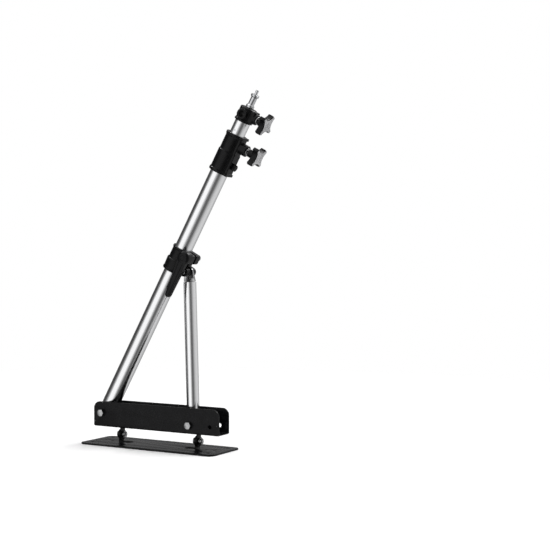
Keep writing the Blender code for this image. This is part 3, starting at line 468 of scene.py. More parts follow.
def cast(name, node, matrix, build, cutters, voxel=0.55 * MM, smoothing=5):
    """One moulded body: shells melted together with soft inner corners, then bored."""
    shape = bmesh.new()
    build(shape)
    item = to_object(name, shape, matrix)
    melt = item.modifiers.new("melt", "REMESH")
    melt.mode = "VOXEL"
    melt.voxel_size = voxel
    soften = item.modifiers.new("soften", "SMOOTH")
    soften.factor = 0.5
    soften.iterations = smoothing
    apply_modifiers(item)
    for i, cut in enumerate(cutters):
        tool_shape = bmesh.new()
        cut(tool_shape)
        tool = to_object(f"tool_{name}_{i}", tool_shape, matrix)
        bore = item.modifiers.new("bore", "BOOLEAN")
        bore.operation = "DIFFERENCE"
        bore.solver = "EXACT"
        bore.object = tool
        apply_modifiers(item)
        bpy.data.objects.remove(tool, do_unlink=True)
    dress(item, node, angle=CASTING_ANGLE)


def bevelled(name, node, width):
    """Copy of a CAD node's shape with its edges rounded."""
    shape = bmesh.new()
    shape.from_mesh(NODES[node].data)
    bmesh.ops.remove_doubles(shape, verts=shape.verts, dist=0.02 * MM)
    bmesh.ops.dissolve_limit(shape, angle_limit=0.01, verts=shape.verts, edges=shape.edges)
    item = to_object(name, shape, WORLD)
    bevel = item.modifiers.new("edges", "BEVEL")
    bevel.width = width
    bevel.segments = 3
    bevel.limit_method = "ANGLE"
    bevel.angle_limit = math.radians(BEVEL_ANGLE)
    apply_modifiers(item)
    dress(item, node)


# --------------------------------------------------------------------- fixings

SHANK = 3.9 * MM
SHANK_SHARE = 0.52
BOLT_HEAD = 5.0 * MM
THREAD_LENGTH = 9.5 * MM
NUT_BORE = 4.25 * MM
NUT_BORE_SHARE = 0.56
NUT_CROWN_SHARE = 0.68
NUT_COLLAR_SHARE = 0.80
NUT_OVERLAP = 0.2 * MM
RIVET_TIP = 0.15 * MM
RIVET_HEIGHT = 0.25 * MM
RIVET_SHOULDER = 0.15 * MM
RIVET_SHOULDER_SHARE = 0.6
RIVET_SUNK = 0.2 * MM
INSERT_BORE = 4.4 * MM


def hex_size(node, axis, matrix):
    """Centre, corner radius and both ends of a CAD bolt or nut along its axis."""
    low, high = local_box(node, matrix)
    index = "XYZ".index(axis)
    wide = 0 if index else 1
    corner = (high[wide] - low[wide]) / 2
    return flat_centre(low, high, axis), corner, low[index], high[index]


def bolt_piece(node, axis, matrix):
    """Hex bolt: chamfered head, shank and a threaded end."""
    centre, corner, start, end = hex_size(node, axis, matrix)
    shank = min(SHANK, corner * SHANK_SHARE)

    def build(shape):
        hexagon(shape, corner, start, start + BOLT_HEAD, axis, centre, high_chamfer=False)
        rod(shape, shank, start + BOLT_HEAD - OVERLAP, end - THREAD_LENGTH + OVERLAP / 2, axis, centre,
            edge=0.1 * MM, sides=SCREW_SIDES)
        thread(shape, shank, end - THREAD_LENGTH, end, axis, centre)

    made(f"{node}_fine", node, matrix, build, FIXING_ANGLE)


def nut_piece(node, axis, matrix):
    """Locking nut: chamfered hexagon under a round collar."""
    centre, corner, start, end = hex_size(node, axis, matrix)
    bore = min(NUT_BORE, corner * NUT_BORE_SHARE)
    crown = start + (end - start) * NUT_CROWN_SHARE

    def build(shape):
        hexagon(shape, corner, start, crown, axis, centre, bore)
        collar = corner * NUT_COLLAR_SHARE
        pipe(shape, collar, bore, crown - NUT_OVERLAP, end, axis, centre, edge=0.9 * MM, sides=SMALL)

    made(f"{node}_fine", node, matrix, build, FIXING_ANGLE)


def rivet_piece(node, matrix):
    """Low domed rivet head on each side, held inside the tube's own outline."""
    low, high = local_box(node, matrix)
    shank = (high.x - low.x) / 2

    def build(shape):
        dome = [(RIVET_TIP, low.y - RIVET_HEIGHT), (shank * RIVET_SHOULDER_SHARE, low.y - RIVET_SHOULDER),
                (shank, low.y + RIVET_SUNK)]
        mirrored = [(r, low.y + high.y - h) for r, h in reversed(dome)]
        lathe(shape, dome + mirrored, "Y", flat_centre(low, high, "Y"), PIN_SIDES)

    made(f"{node}_fine", node, matrix, build)


def insert_piece(node):
    """Plain ring for a threaded insert, in a boss on the arm's X side."""
    low, high = local_box(node, ARM)
    radius = (high.y - low.y) / 2
    centre = flat_centre(low, high, "X")
    made(f"{node}_fine", node, ARM,
         lambda s: pipe(s, radius, INSERT_BORE, low.x, high.x, "X", centre, edge=0.5 * MM, sides=SMALL))


# --------------------------------------------------------------- plate, channel

SHEET_EDGE = 0.45 * MM

bevelled("plate_sheet", "wall_plate", SHEET_EDGE)
bevelled("channel_sheet", "channel", SHEET_EDGE)
for side in ("left", "right"):
    bolt_piece(f"hinge_bolt_{side}", "X", WORLD)
    nut_piece(f"hinge_nut_{side}", "X", WORLD)
for member in ("arm", "support"):
    bolt_piece(f"{member}_pivot_bolt", "Y", WORLD)
    nut_piece(f"{member}_pivot_nut", "Y", WORLD)


# ------------------------------------------------------------------------ tubes

WALL = 1.5 * MM
TUBE_EDGE = 0.35 * MM
PLUG_EDGE = 0.7 * MM
OUTER = local_box("arm_outer_tube", ARM)[1].y
INNER = local_box("arm_inner_tube", ARM)[1].y


def tube_piece(node, matrix):
    low, high = local_box(node, matrix)
    made(f"{node}_fine", node, matrix,
         lambda s: pipe(s, high.y, high.y - WALL, low.z, high.z, edge=TUBE_EDGE))


tube_piece("arm_outer_tube", ARM)
tube_piece("arm_inner_tube", ARM)
tube_piece("support_tube", STRUT)
bevelled("arm_foot", "arm_foot_plug", PLUG_EDGE)
bevelled("strut_foot", "support_foot_plug", PLUG_EDGE)
bevelled("strut_tongue", "support_tongue", TUBE_EDGE)
rivet_piece("arm_foot_rivet", ARM)
rivet_piece("support_foot_rivet", STRUT)
rivet_piece("support_top_rivet", STRUT)
rivet_piece("head_rivet", ARM)


# ----------------------------------------------------------------------- collar

COLLAR_LOW, COLLAR_HIGH = local_box("collar", ARM)
COLLAR_STEP = COLLAR_LOW.z + 43.5 * MM
COLLAR_STEP_SLOPE = 1.0 * MM
COLLAR_CORE = 8.0 * MM
COLLAR_RIM = 5.0 * MM
COLLAR_RIM_FOOT = 6.4 * MM
COLLAR_EDGE = 2.0 * MM

# How far the collar's barrels and its top rim lie inside its widest radius.
LOWER_BARREL = 1.4 * MM
UPPER_BARREL = 2.6 * MM
TOP_RIM = 1.2 * MM

# The pad down the collar's side is a wider block at each rim and two long ones
# between, each from the core out to its own distance.
PAD_ROOT = 4.0 * MM
PAD_HALF = 12.0 * MM
PAD_END_HALF = 14.0 * MM
PAD_LOWER_OUT = 21.6 * MM
PAD_UPPER_OUT = 20.4 * MM
PAD_BOTTOM_OUT = 23.4 * MM
PAD_TOP_OUT = 22.4 * MM
PAD_INSET = 2.0 * MM
PAD_OVERLAP = 3.0 * MM

# The collar is bored for the outer tube up to its top wall, for the inner tube
# through that wall, and across for the knob's screw and the fixing bolt.
TUBE_SLACK = 0.4 * MM
GUIDE_SLACK = 0.5 * MM
COLLAR_TOP_WALL = 5.0 * MM
COLLAR_BORES_MEET = 8.0 * MM
BOSS_START = 14.0 * MM
COLLAR_BOSS = 11.0 * MM
COUNTERBORE = 7.8 * MM
FIXING_HOLE = 3.4 * MM
HOLE_START = 5.0 * MM
HOLE_END = 29.0 * MM
COUNTERBORE_START = 28.0 * MM
COUNTERBORE_END = 50.0 * MM

# How far up the arm each knob's axis is.
STATION = {name: station(f"{name}_screw") for name in ("collar", "head")}
COLLAR_HOLE = (0.0, STATION["collar"])
FIXING_AXIS = (0.0, station("collar_fixing_bolt"))
FIXING_HEAD = 7.5 * MM
FIXING_RADIUS = 6.15 * MM
FIXING_FLUTE = 0.3 * MM
FIXING_SHANK = 3.0 * MM


def collar_shells(shape):
    bottom, top = COLLAR_LOW.z, COLLAR_HIGH.z
    wide = -COLLAR_LOW.x
    profile = [
        (COLLAR_CORE, bottom), (wide, bottom), (wide, bottom + COLLAR_RIM),
        (wide - LOWER_BARREL, bottom + COLLAR_RIM_FOOT), (wide - LOWER_BARREL, COLLAR_STEP),
        (wide - UPPER_BARREL, COLLAR_STEP + COLLAR_STEP_SLOPE), (wide - UPPER_BARREL, top - COLLAR_RIM_FOOT),
        (wide - TOP_RIM, top - COLLAR_RIM), (wide - TOP_RIM, top), (COLLAR_CORE, top),
    ]
    lathe(shape, rounded(profile, 0.9 * MM))
    for half, out, low, high in (
        (PAD_HALF, PAD_LOWER_OUT, bottom + PAD_INSET, COLLAR_STEP),
        (PAD_HALF, PAD_UPPER_OUT, COLLAR_STEP - PAD_OVERLAP, top - PAD_INSET),
        (PAD_END_HALF, PAD_BOTTOM_OUT, bottom, bottom + COLLAR_RIM),
        (PAD_END_HALF, PAD_TOP_OUT, top - COLLAR_RIM, top),
    ):
        block(shape, (PAD_ROOT, -half, low), (out, half, high), COLLAR_EDGE)
    rod(shape, COLLAR_BOSS, BOSS_START, COLLAR_HIGH.x, "X", COLLAR_HOLE, edge=1.0 * MM)


cast("collar_body", "collar", ARM, collar_shells, (
    cutter(OUTER + TUBE_SLACK, COLLAR_LOW.z - PAST, COLLAR_HIGH.z - COLLAR_TOP_WALL, sides=FINE),
    cutter(INNER + GUIDE_SLACK, COLLAR_HIGH.z - COLLAR_BORES_MEET, COLLAR_HIGH.z + PAST, sides=FINE),
    cutter(COUNTERBORE, COUNTERBORE_START, COUNTERBORE_END, "X", COLLAR_HOLE),
    cutter(INSERT_BORE, HOLE_START, HOLE_END, "X", COLLAR_HOLE),
    cutter(FIXING_HOLE, HOLE_START, HOLE_END, "X", FIXING_AXIS),
))


def fixing_bolt(shape):
    """Round black head with fine grip flutes on a plain shank."""
    low, high = local_box("collar_fixing_bolt", ARM)
    seat = high.x - FIXING_HEAD
    outline = fluted(FIXING_AXIS, FIXING_RADIUS, FIXING_FLUTE)
    slab(shape, outline, seat, high.x, "X", 0.9 * MM, FIXING_AXIS)
    rod(shape, FIXING_SHANK, low.x, seat + OVERLAP, "X", FIXING_AXIS, edge=0.2 * MM, sides=PIN_SIDES)


made("collar_fixing_screw", "collar_fixing_bolt", ARM, fixing_bolt)
insert_piece("collar_insert")
insert_piece("head_insert")


# ------------------------------------------------------------------------ knobs

# How far each knob is turned from a lobe that points up the arm, in degrees.
KNOB_PHASE = {"collar": 43.0, "head": 30.0}
LOBE_TIP = 22.25 * MM
LOBE_END = 2.8 * MM
LOBE_WAIST = 12.0 * MM
LOBE_DEPTH = 12.0 * MM
LOBE_EDGE = 1.6 * MM
SCOOP_STEPS = 20

# A face drawn in by an inset has its lobes' ends drawn in by this share of it.
END_SHARE = 0.4
FACE_INSET = 1.0 * MM
FACE_EDGE = 0.45 * MM

HUB_BORE = 4.6 * MM
HUB_NOSE = 7.6 * MM
HUB_NECK = 8.0 * MM
HUB_ROOT = 9.4 * MM
HUB_BLEND = 1.0 * MM


def star(name, inset):
    """Four blunt lobes with scooped flanks, about the knob's own axis."""
    tip, end, waist = LOBE_TIP - inset, LOBE_END - inset * END_SHARE, LOBE_WAIST - inset
    half_chord = (tip - end) / math.sqrt(2)
    hollow = (tip + end) / math.sqrt(2) - waist
    scoop = (half_chord ** 2 + hollow ** 2) / (2 * hollow)
    reach = math.degrees(math.asin(half_chord / scoop))
    distance = waist + scoop
    points = []
    for quarter in range(4):
        heading = math.radians(45.0 - KNOB_PHASE[name] + 90.0 * quarter)
        back = math.degrees(heading) + 180.0
        scoop_centre = (distance * math.cos(heading), distance * math.sin(heading))
        points += arc(scoop_centre, scoop, back + reach, back - reach, SCOOP_STEPS)
    return [(a, STATION[name] + b) for a, b in rounded(points, LOBE_EDGE, 4, True)]


def knob(name):
    centre = (0.0, STATION[name])
    grip_low, grip_high = local_box(f"{name}_knob_grip", ARM)
    cap_low, cap_high = local_box(f"{name}_knob_cap", ARM)
    screw_low, screw_high = local_box(f"{name}_screw", ARM)
    lobe_low = grip_high.x - LOBE_DEPTH

    def grip(shape):
        slab(shape, star(name, 0.0), lobe_low, grip_high.x, "X", LOBE_EDGE, centre)
        hub = [(HUB_BORE, grip_low.x), (HUB_NOSE, grip_low.x), (HUB_NECK, lobe_low - HUB_BLEND),
               (HUB_ROOT, lobe_low + HUB_BLEND), (HUB_BORE, lobe_low + HUB_BLEND)]
        lathe(shape, rounded(hub, 0.5 * MM, 3, True), "X", centre, SMALL, True)

    def face(shape):
        slab(shape, star(name, FACE_INSET), cap_low.x, cap_high.x, "X", FACE_EDGE, centre)

    made(f"{name}_knob_body", f"{name}_knob_grip", ARM, grip)
    made(f"{name}_knob_face", f"{name}_knob_cap", ARM, face)
    made(f"{name}_knob_screw", f"{name}_screw", ARM,
         lambda s: thread(s, SHANK, screw_low.x, screw_high.x, "X", centre))


knob("collar")
knob("head")


# ------------------------------------------------------------------------- head

HEAD_LOW, HEAD_HIGH = local_box("head_casting", ARM)
SEAT_GAP = 0.3 * MM
HEAD_RIM = local_box("arm_inner_tube", ARM)[1].z + SEAT_GAP
HEAD_HOLE = (0.0, STATION["head"])
HEAD_CORE = 4.0 * MM
HEAD_PLUG = INNER - WALL - 0.45 * MM
HEAD_FLANGE = 18.0 * MM
HEAD_FLANGE_HEIGHT = 3.5 * MM
HEAD_BARREL = 16.8 * MM
HEAD_SLOPE = 1.1 * MM
HEAD_CROWN = 1.5 * MM
HEAD_BLOCK_ROOT = 2.0 * MM
HEAD_BLOCK_OUT = 22.0 * MM
HEAD_BLOCK_HALF = 10.0 * MM
HEAD_BLOCK_BELOW = 1.0 * MM
CROSS_BOSS = 10.5 * MM
CROSS_HOLE = 6.2 * MM
KNOB_BOSS = 10.0 * MM
HEAD_COUNTERBORE_START = 19.0 * MM
HEAD_COUNTERBORE_END = 45.0 * MM
HEAD_SCREW_HOLE_END = 20.0 * MM
SPIGOT_SOCKET = 5.4 * MM
SPIGOT_SOCKET_DEPTH = 6.0 * MM

# The spigot's radii, and then its heights above its seat on the head.
SPIGOT_CORE = 2.0 * MM
SPIGOT_STEM = 4.8 * MM
SPIGOT_WIDE = 8.0 * MM
SPIGOT_WAIST = 6.0 * MM
SPIGOT_SCREW = 3.2 * MM
SPIGOT_FOOT_TOP = 5.0 * MM
SPIGOT_WAIST_LOW = 7.0 * MM
SPIGOT_WAIST_HIGH = 21.5 * MM
SPIGOT_SHOULDER_LOW = 23.0 * MM
SPIGOT_SHOULDER_HIGH = 26.5 * MM
SPIGOT_SCREW_LOW = 26.6 * MM
SPIGOT_TOP = 27.0 * MM
SPIGOT_CHAMFER = 0.5 * MM
SPIGOT_PITCH = 1.27 * MM
SPIGOT_TIP_GAP = 0.1 * MM


def head_shells(shape):
    flange_top = HEAD_RIM + HEAD_FLANGE_HEIGHT
    profile = [
        (HEAD_CORE, HEAD_LOW.z), (HEAD_PLUG, HEAD_LOW.z), (HEAD_PLUG, HEAD_RIM), (HEAD_FLANGE, HEAD_RIM),
        (HEAD_FLANGE, flange_top), (HEAD_BARREL, flange_top + HEAD_SLOPE),
        (HEAD_BARREL, HEAD_HIGH.z - HEAD_CROWN), (HEAD_BARREL - HEAD_CROWN, HEAD_HIGH.z),
        (HEAD_CORE, HEAD_HIGH.z),
    ]
    lathe(shape, rounded(profile, 0.6 * MM))
    rod(shape, CROSS_BOSS, HEAD_LOW.y, HEAD_HIGH.y, "Y", HEAD_HOLE, edge=0.8 * MM)
    block(shape, (HEAD_BLOCK_ROOT, -HEAD_BLOCK_HALF, flange_top),
          (HEAD_BLOCK_OUT, HEAD_BLOCK_HALF, HEAD_HIGH.z - HEAD_BLOCK_BELOW), edge=2.5 * MM)
    rod(shape, KNOB_BOSS, BOSS_START, HEAD_HIGH.x, "X", HEAD_HOLE, edge=0.9 * MM)


cast("head_body", "head_casting", ARM, head_shells, (
    cutter(CROSS_HOLE, -THROUGH, THROUGH, "Y", HEAD_HOLE),
    cutter(COUNTERBORE, HEAD_COUNTERBORE_START, HEAD_COUNTERBORE_END, "X", HEAD_HOLE),
    cutter(INSERT_BORE, 0.0, HEAD_SCREW_HOLE_END, "X", HEAD_HOLE),
    cutter(SPIGOT_SOCKET, HEAD_HIGH.z - SPIGOT_SOCKET_DEPTH, HEAD_HIGH.z + PAST),
), voxel=0.5 * MM, smoothing=4)


def spigot(shape):
    """Shouldered stud on a wide foot, with a thin threaded tip."""
    low, high = local_box("spigot", ARM)
    base = HEAD_HIGH.z + SEAT_GAP
    body = [
        (SPIGOT_CORE, low.z), (SPIGOT_STEM, low.z), (SPIGOT_STEM, base),
        (SPIGOT_WIDE, base), (SPIGOT_WIDE, base + SPIGOT_FOOT_TOP),
        (SPIGOT_WAIST, base + SPIGOT_WAIST_LOW), (SPIGOT_WAIST, base + SPIGOT_WAIST_HIGH),
        (SPIGOT_WIDE, base + SPIGOT_SHOULDER_LOW), (SPIGOT_WIDE, base + SPIGOT_SHOULDER_HIGH),
        (SPIGOT_WIDE - SPIGOT_CHAMFER, base + SPIGOT_TOP), (SPIGOT_CORE, base + SPIGOT_TOP),
    ]
    lathe(shape, rounded(body, 0.4 * MM, 3), sides=SMALL)
    tip = high.z - SPIGOT_TIP_GAP
    thread(shape, SPIGOT_SCREW, base + SPIGOT_SCREW_LOW, tip, "Z", (0.0, 0.0), SPIGOT_PITCH)


made("spigot_fine", "spigot", ARM, spigot)


# ------------------------------------------------------------------------ clamp

CLAMP_LOW, CLAMP_HIGH = local_box("clamp_body", ARM)
BOLT_LOW, BOLT_HIGH = local_box("clamp_bolt", ARM)
PIN = flat_centre(*local_box("fork_pin", ARM), "Y")
BOLT = flat_centre(BOLT_LOW, BOLT_HIGH, "Y")
CLAMP_CORE = 8.0 * MM
CLAMP_FLANGE = 22.4 * MM
CLAMP_WAIST = 21.6 * MM
CLAMP_SWELL = 22.3 * MM
CLAMP_UPPER = 20.0 * MM
CLAMP_TOP_FLANGE = 21.2 * MM
CLAMP_FLANGE_HEIGHT = 3.5 * MM
CLAMP_FLANGE_FOOT = 4.5 * MM
CLAMP_STEP_HEIGHT = 1.5 * MM

# The two cheeks hold the fork pin at their lower end and the clamp bolt in a lug
# at their upper end. SLIT is half the gap between them, CHEEK half the whole width.
SLIT = 3.2 * MM
CHEEK = 17.0 * MM
CHEEK_ROOT = 12.0 * MM
CHEEK_OUT = 24.0 * MM
FORK_RADIUS = 9.0 * MM
CLAMP_LUG_OUT = 34.0 * MM
CLAMP_LUG_BELOW = 12.0 * MM
CLAMP_LUG_ABOVE = 8.0 * MM
CLAMP_LUG_CORNER = 5.0 * MM
PIN_HOLE = 3.4 * MM
CLAMP_BOLT_HOLE = 4.4 * MM
SLIT_END = 60.0 * MM

# The bolt's shank and its spline for the lever, with their ends on the arm's Y axis.
BOLT_START = -19.0 * MM
SPLINE_END = -17.4 * MM
SPLINE_RADIUS = 5.7 * MM
SPLINE_DEPTH = 0.28 * MM


def cheek_outline():
    lug_x = CLAMP_LUG_OUT - CLAMP_LUG_CORNER
    lug_low = BOLT[1] - CLAMP_LUG_BELOW
    lug_high = BOLT[1] + CLAMP_LUG_ABOVE
    outline = [(CHEEK_ROOT, PIN[1] - FORK_RADIUS)]
    outline += arc(PIN, FORK_RADIUS, -90, 90, 20)
    outline += [(CHEEK_OUT, PIN[1] + FORK_RADIUS), (CHEEK_OUT, lug_low)]
    outline += arc((lug_x, lug_low + CLAMP_LUG_CORNER), CLAMP_LUG_CORNER, -90, 0, 8)
    outline += arc((lug_x, lug_high - CLAMP_LUG_CORNER), CLAMP_LUG_CORNER, 0, 90, 8)
    return outline + [(CHEEK_ROOT, lug_high)]


def clamp_shells(shape):
    bottom, top = CLAMP_LOW.z, CLAMP_HIGH.z
    step = (bottom + top) / 2
    profile = [
        (CLAMP_CORE, bottom), (CLAMP_FLANGE, bottom), (CLAMP_FLANGE, bottom + CLAMP_FLANGE_HEIGHT),
        (CLAMP_WAIST, bottom + CLAMP_FLANGE_FOOT), (CLAMP_SWELL, step - CLAMP_STEP_HEIGHT),
        (CLAMP_UPPER, step), (CLAMP_UPPER, top - CLAMP_FLANGE_FOOT),
        (CLAMP_TOP_FLANGE, top - CLAMP_FLANGE_HEIGHT), (CLAMP_TOP_FLANGE, top), (CLAMP_CORE, top),
    ]
    lathe(shape, rounded(profile, 0.8 * MM))
    slab(shape, cheek_outline(), -CHEEK, CHEEK, "Y")


def clamp_slit(shape):
    block(shape, (CLAMP_CORE, -SLIT, CLAMP_LOW.z - PAST), (SLIT_END, SLIT, CLAMP_HIGH.z + PAST), SHARP)


cast("clamp_casting", "clamp_body", ARM, clamp_shells, (
    cutter(OUTER + TUBE_SLACK, CLAMP_LOW.z - PAST, CLAMP_HIGH.z + PAST, sides=FINE),
    clamp_slit,
    cutter(PIN_HOLE, -THROUGH, THROUGH, "Y", PIN),
    cutter(CLAMP_BOLT_HOLE, -THROUGH, THROUGH, "Y", BOLT),
))
nut_piece("clamp_nut", "Y", ARM)
nut_piece("fork_nut", "Y", ARM)
bolt_piece("fork_pin", "Y", ARM)


def clamp_bolt(shape):
    """Plain bolt with a splined end for the lever."""
    rod(shape, SHANK, BOLT_START, BOLT_HIGH.y, "Y", BOLT, edge=0.4 * MM, sides=SCREW_SIDES)
    slab(shape, fluted(BOLT, SPLINE_RADIUS, SPLINE_DEPTH), BOLT_LOW.y, SPLINE_END, "Y", 0.3 * MM, BOLT)


made("clamp_bolt_fine", "clamp_bolt", ARM, clamp_bolt)


# ------------------------------------------------------------------------ lever

# The hub's dome as radii, and how far each lies behind the lever's face.
LEVER_DOME = (
    (3.0 * MM, 0.0), (6.2 * MM, 0.15 * MM), (9.2 * MM, 0.9 * MM),
    (11.6 * MM, 2.3 * MM), (13.0 * MM, 4.2 * MM), (13.3 * MM, 6.0 * MM),
)
LEVER_TIP_SHIFT = 3.5 * MM

# The blade's radius at its tip, its sides from the hub's middle and its depths
# behind the lever's face; then the same for the rib on it.
BLADE_TIP = 5.6 * MM
BLADE_SIDES = (-10.5 * MM, 11.0 * MM)
BLADE_DEPTHS = (2.0 * MM, 12.0 * MM)
RIB_TIP = 2.6 * MM
RIB_SIDES = (-4.5 * MM, 5.5 * MM)
RIB_DEPTHS = (1.1 * MM, 4.0 * MM)

# The lever's bores, by radius and both ends on the arm's Y axis.
SPLINE_BORE = (6.4 * MM, -23.8 * MM, -10.0 * MM)
CAP_BORE = (5.2 * MM, -50.0 * MM, -25.4 * MM)
SCREW_BORE = (2.6 * MM, -26.0 * MM, -20.0 * MM)

# The lever's screw: radius and height of its head, and its shank's radius.
SCREW_HEAD = 4.4 * MM
SCREW_HEAD_HEIGHT = 2.5 * MM
SCREW_SHANK = 2.2 * MM

# The cap's profile as radii and depths behind its crown; it is plain from there on.
CAP_CORE = 0.4 * MM
CAP_RADIUS = 4.85 * MM
CAP_DOME = ((3.4 * MM, 0.06 * MM), (4.8 * MM, 0.35 * MM))


def lever_shells(shape):
    """Hub with a domed face and a tapering blade with a raised rib."""
    low, high = local_box("clamp_lever", ARM)
    face, root = low.y, high.y
    hub = [(radius, face + depth) for radius, depth in LEVER_DOME]
    hub += [(LEVER_DOME[-1][0], root), (LEVER_DOME[0][0], root)]
    lathe(shape, rounded(hub, 1.2 * MM), "Y", BOLT)
    tip = (BOLT[0] + LEVER_TIP_SHIFT, low.z + BLADE_TIP)
    for radius, sides, depths, steps, edge in (
        (BLADE_TIP, BLADE_SIDES, BLADE_DEPTHS, 16, 1.8 * MM),
        (RIB_TIP, RIB_SIDES, RIB_DEPTHS, 10, 0.5 * MM),
    ):
        outline = arc(tip, radius, 180, 360, steps)
        outline = [(BOLT[0] + sides[0], BOLT[1])] + outline + [(BOLT[0] + sides[1], BOLT[1])]
        slab(shape, outline, face + depths[0], face + depths[1], "Y", edge)


cast("lever_body", "clamp_lever", ARM, lever_shells, (
    cutter(*SPLINE_BORE, "Y", BOLT),
    cutter(*CAP_BORE, "Y", BOLT),
    cutter(*SCREW_BORE, "Y", BOLT),
), voxel=0.5 * MM, smoothing=4)


def lever_screw(shape):
    low, high = local_box("lever_screw", ARM)
    head_end = low.y + SCREW_HEAD_HEIGHT
    rod(shape, SCREW_HEAD, low.y, head_end, "Y", BOLT, edge=0.5 * MM, sides=SCREW_SIDES)
    rod(shape, SCREW_SHANK, head_end - OVERLAP / 2, high.y, "Y", BOLT, edge=0.1 * MM, sides=PIN_SIDES)


def lever_cap(shape):
    """Slightly domed plug over the lever's screw."""
    low, high = local_box("lever_cap", ARM)
    dome = [(radius, low.y + depth) for radius, depth in CAP_DOME]
    profile = [(CAP_CORE, low.y)] + dome + [(CAP_RADIUS, high.y), (CAP_CORE, high.y)]
    lathe(shape, profile, "Y", BOLT, SMALL)


made("lever_screw_fine", "lever_screw", ARM, lever_screw)
made("lever_cap_fine", "lever_cap", ARM, lever_cap)


# ------------------------------------------------- CAD nodes that stay as shown

for node_name, item in NODES.items():
    if item.hide_render:
        continue
    item.data.materials.clear()
    item.data.materials.append(look_for(node_name))


# ----------------------------------------------------------------------- camera

# A perspective camera fitted to the photo: it looks at AIM, which its shifts then
# move off the middle of the picture.
AZIMUTH = math.radians(32.454)
ELEVATION = math.radians(1.609)
DISTANCE = 2.3815
AIM = Vector((0.0, 0.0, 0.3))
SENSOR = 36.0
LENS = 78.58
SHIFT = (0.2116, 0.0378)


def add_to_scene(name, data, turn, position=(0.0, 0.0, 0.0)):
    """Places a light or a camera, which is turned by a quaternion."""
    item = bpy.data.objects.new(name, data)
    item.location = position
    item.rotation_euler = turn.to_euler()
    bpy.context.scene.collection.objects.link(item)
    return item


def build_camera():
    data = bpy.data.cameras.new("camera")
    data.sensor_width = SENSOR
    data.lens = LENS
    data.shift_x, data.shift_y = SHIFT
    level = math.cos(ELEVATION)
    away = Vector((math.sin(AZIMUTH) * level, -math.cos(AZIMUTH) * level, math.sin(ELEVATION)))
    turn = (-away).to_track_quat("-Z", "Y")
    bpy.context.scene.camera = add_to_scene("camera", data, turn, AIM + away * DISTANCE)


# ------------------------------------------------------------------------ floor

FLOOR_GAP = 0.3 * MM
FLOOR_RINGS = (0.2, 0.5, 1.0, 1.5, 2.5)
FADE_START = 0.45
FADE_END = 1.9


def fade_out(look):
    """Lets the floor turn see-through with distance from its middle."""
    nodes, links = look.tree.nodes, look.tree.links
    distance = nodes.new("ShaderNodeVectorMath")
    distance.operation = "LENGTH"
    links.new(look.place, distance.inputs[0])
    share = nodes.new("ShaderNodeMapRange")
    share.interpolation_type = "SMOOTHSTEP"
    share.inputs["From Min"].default_value = FADE_START
    share.inputs["From Max"].default_value = FADE_END
    share.inputs["To Min"].default_value = 1.0
    share.inputs["To Max"].default_value = 0.0
    links.new(distance.outputs["Value"], share.inputs["Value"])
    links.new(share.outputs["Result"], look.shader.inputs["Alpha"])


def build_floor():
    """Round pale floor just under the plate; the metal doesn't reflect it."""
    shape = bmesh.new()
    rings = []
    for radius in FLOOR_RINGS:
        outline = arc((0.0, 0.0), radius, 0.0, 360.0, SMALL)[:-1]
        rings.append([shape.verts.new((x, y, 0.0)) for x, y in outline])
    skin(shape, rings, ends=False)
    shape.faces.new(rings[0])
    floor = to_object("floor", shape, Matrix.Translation((0.0, 0.0, CAD_BOX[0][2] - FLOOR_GAP)))
    look = Look("pale_floor").set(Metallic=0.0)
    look.colour(look.noise(3.0), (0.90, 0.90, 0.90), (0.93, 0.93, 0.93))
    look.roughness(look.noise(30.0), 0.45, 0.55)
    fade_out(look)
    floor.data.materials.append(look.material)
    floor.visible_glossy = False


# ----------------------------------------------------------------------- lights

# The studio as the metal sees it: level by angle round the object from the
# camera's side, in degrees, with a bright ceiling that starts at a height given as
# the sine of the angle up.
STUDIO = (
    (-180.0, 0.30), (-150.0, 0.08), (-104.0, 0.06), (-86.0, 0.35), (-70.0, 1.15),
    (-34.0, 1.15), (-20.0, 0.50), (-4.0, 0.13), (16.0, 0.13), (34.0, 0.38),
    (56.0, 0.66), (96.0, 0.74), (130.0, 0.55), (155.0, 0.34), (180.0, 0.30),
)
BLUE_SHARE = 1.005
CEILING = 1.80
CEILING_START = 0.80
CEILING_FULL = 0.93


def area_light(name, position, target, size, power):
    data = bpy.data.lights.new(name, "AREA")
    data.energy = power
    data.size = size
    turn = (Vector(target) - Vector(position)).to_track_quat("-Z", "Y")
    add_to_scene(name, data, turn, position)


def sun_light(name, towards, spread, power):
    """Even light from one direction; the spread in degrees softens its shadows."""
    data = bpy.data.lights.new(name, "SUN")
    data.energy = power
    data.angle = math.radians(spread)
    add_to_scene(name, data, Vector(towards).to_track_quat("Z", "Y"))


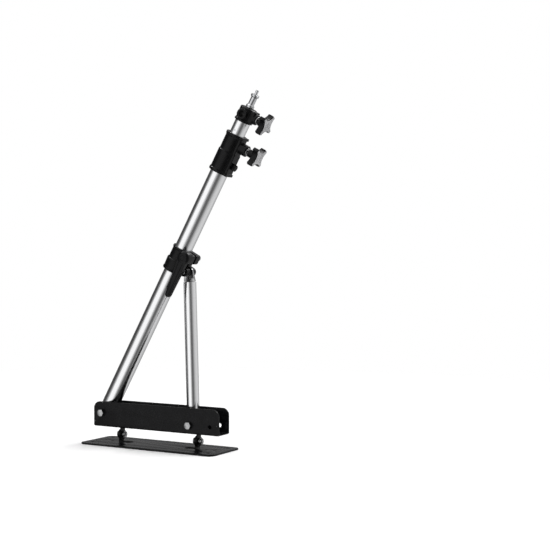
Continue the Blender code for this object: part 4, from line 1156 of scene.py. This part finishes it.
def build_world():
    """White behind the object; the metal reflects two soft panels, dark gaps and a ceiling."""
    world = bpy.data.worlds.new("studio")
    bpy.context.scene.world = world
    world.use_nodes = True
    nodes, links = world.node_tree.nodes, world.node_tree.links
    coordinates = nodes.new("ShaderNodeTexCoord")

    def along(direction):
        node = nodes.new("ShaderNodeVectorMath")
        node.operation = "DOT_PRODUCT"
        links.new(coordinates.outputs["Generated"], node.inputs[0])
        node.inputs[1].default_value = direction
        return node.outputs["Value"]

    front = along((math.sin(AZIMUTH), -math.cos(AZIMUTH), 0.0))
    right = along((math.cos(AZIMUTH), math.sin(AZIMUTH), 0.0))
    angle = nodes.new("ShaderNodeMath")
    angle.operation = "ARCTAN2"
    links.new(right, angle.inputs[0])
    links.new(front, angle.inputs[1])
    share = nodes.new("ShaderNodeMath")
    share.operation = "MULTIPLY_ADD"
    links.new(angle.outputs["Value"], share.inputs[0])
    share.inputs[1].default_value = 0.5 / math.pi
    share.inputs[2].default_value = 0.5

    panels = nodes.new("ShaderNodeValToRGB")
    panels.color_ramp.interpolation = "EASE"
    stops = panels.color_ramp.elements
    while len(stops) < len(STUDIO):
        stops.new(0.5)
    for stop, (degrees, level) in zip(stops, STUDIO):
        stop.position = (degrees + 180.0) / 360.0
        stop.color = (level, level, level * BLUE_SHARE, 1.0)
    links.new(share.outputs["Value"], panels.inputs["Fac"])

    height = nodes.new("ShaderNodeMapRange")
    height.interpolation_type = "SMOOTHSTEP"
    height.inputs["From Min"].default_value = CEILING_START
    height.inputs["From Max"].default_value = CEILING_FULL
    links.new(along((0.0, 0.0, 1.0)), height.inputs["Value"])

    # A colour mix's factor, first and second colour are sockets 0, 6 and 7.
    dome = nodes.new("ShaderNodeMix")
    dome.data_type = "RGBA"
    links.new(height.outputs["Result"], dome.inputs[0])
    links.new(panels.outputs["Color"], dome.inputs[6])
    dome.inputs[7].default_value = (CEILING, CEILING, CEILING, 1.0)
    lit = nodes["Background"]
    links.new(dome.outputs[2], lit.inputs["Color"])

    seen = nodes.new("ShaderNodeBackground")
    seen.inputs["Color"].default_value = (1.0, 1.0, 1.0, 1.0)
    path = nodes.new("ShaderNodeLightPath")
    mix = nodes.new("ShaderNodeMixShader")
    links.new(path.outputs["Is Camera Ray"], mix.inputs["Fac"])
    links.new(lit.outputs["Background"], mix.inputs[1])
    links.new(seen.outputs["Background"], mix.inputs[2])
    links.new(mix.outputs["Shader"], nodes["World Output"].inputs["Surface"])


build_floor()
build_world()
area_light("glint", (-1.0, -0.1, 2.0), AIM, 0.16, 8.0)
sun_light("back", (0.45, 1.0, 1.15), 36.0, 2.3)
build_camera()
bpy.context.scene.view_settings.view_transform = "Standard"
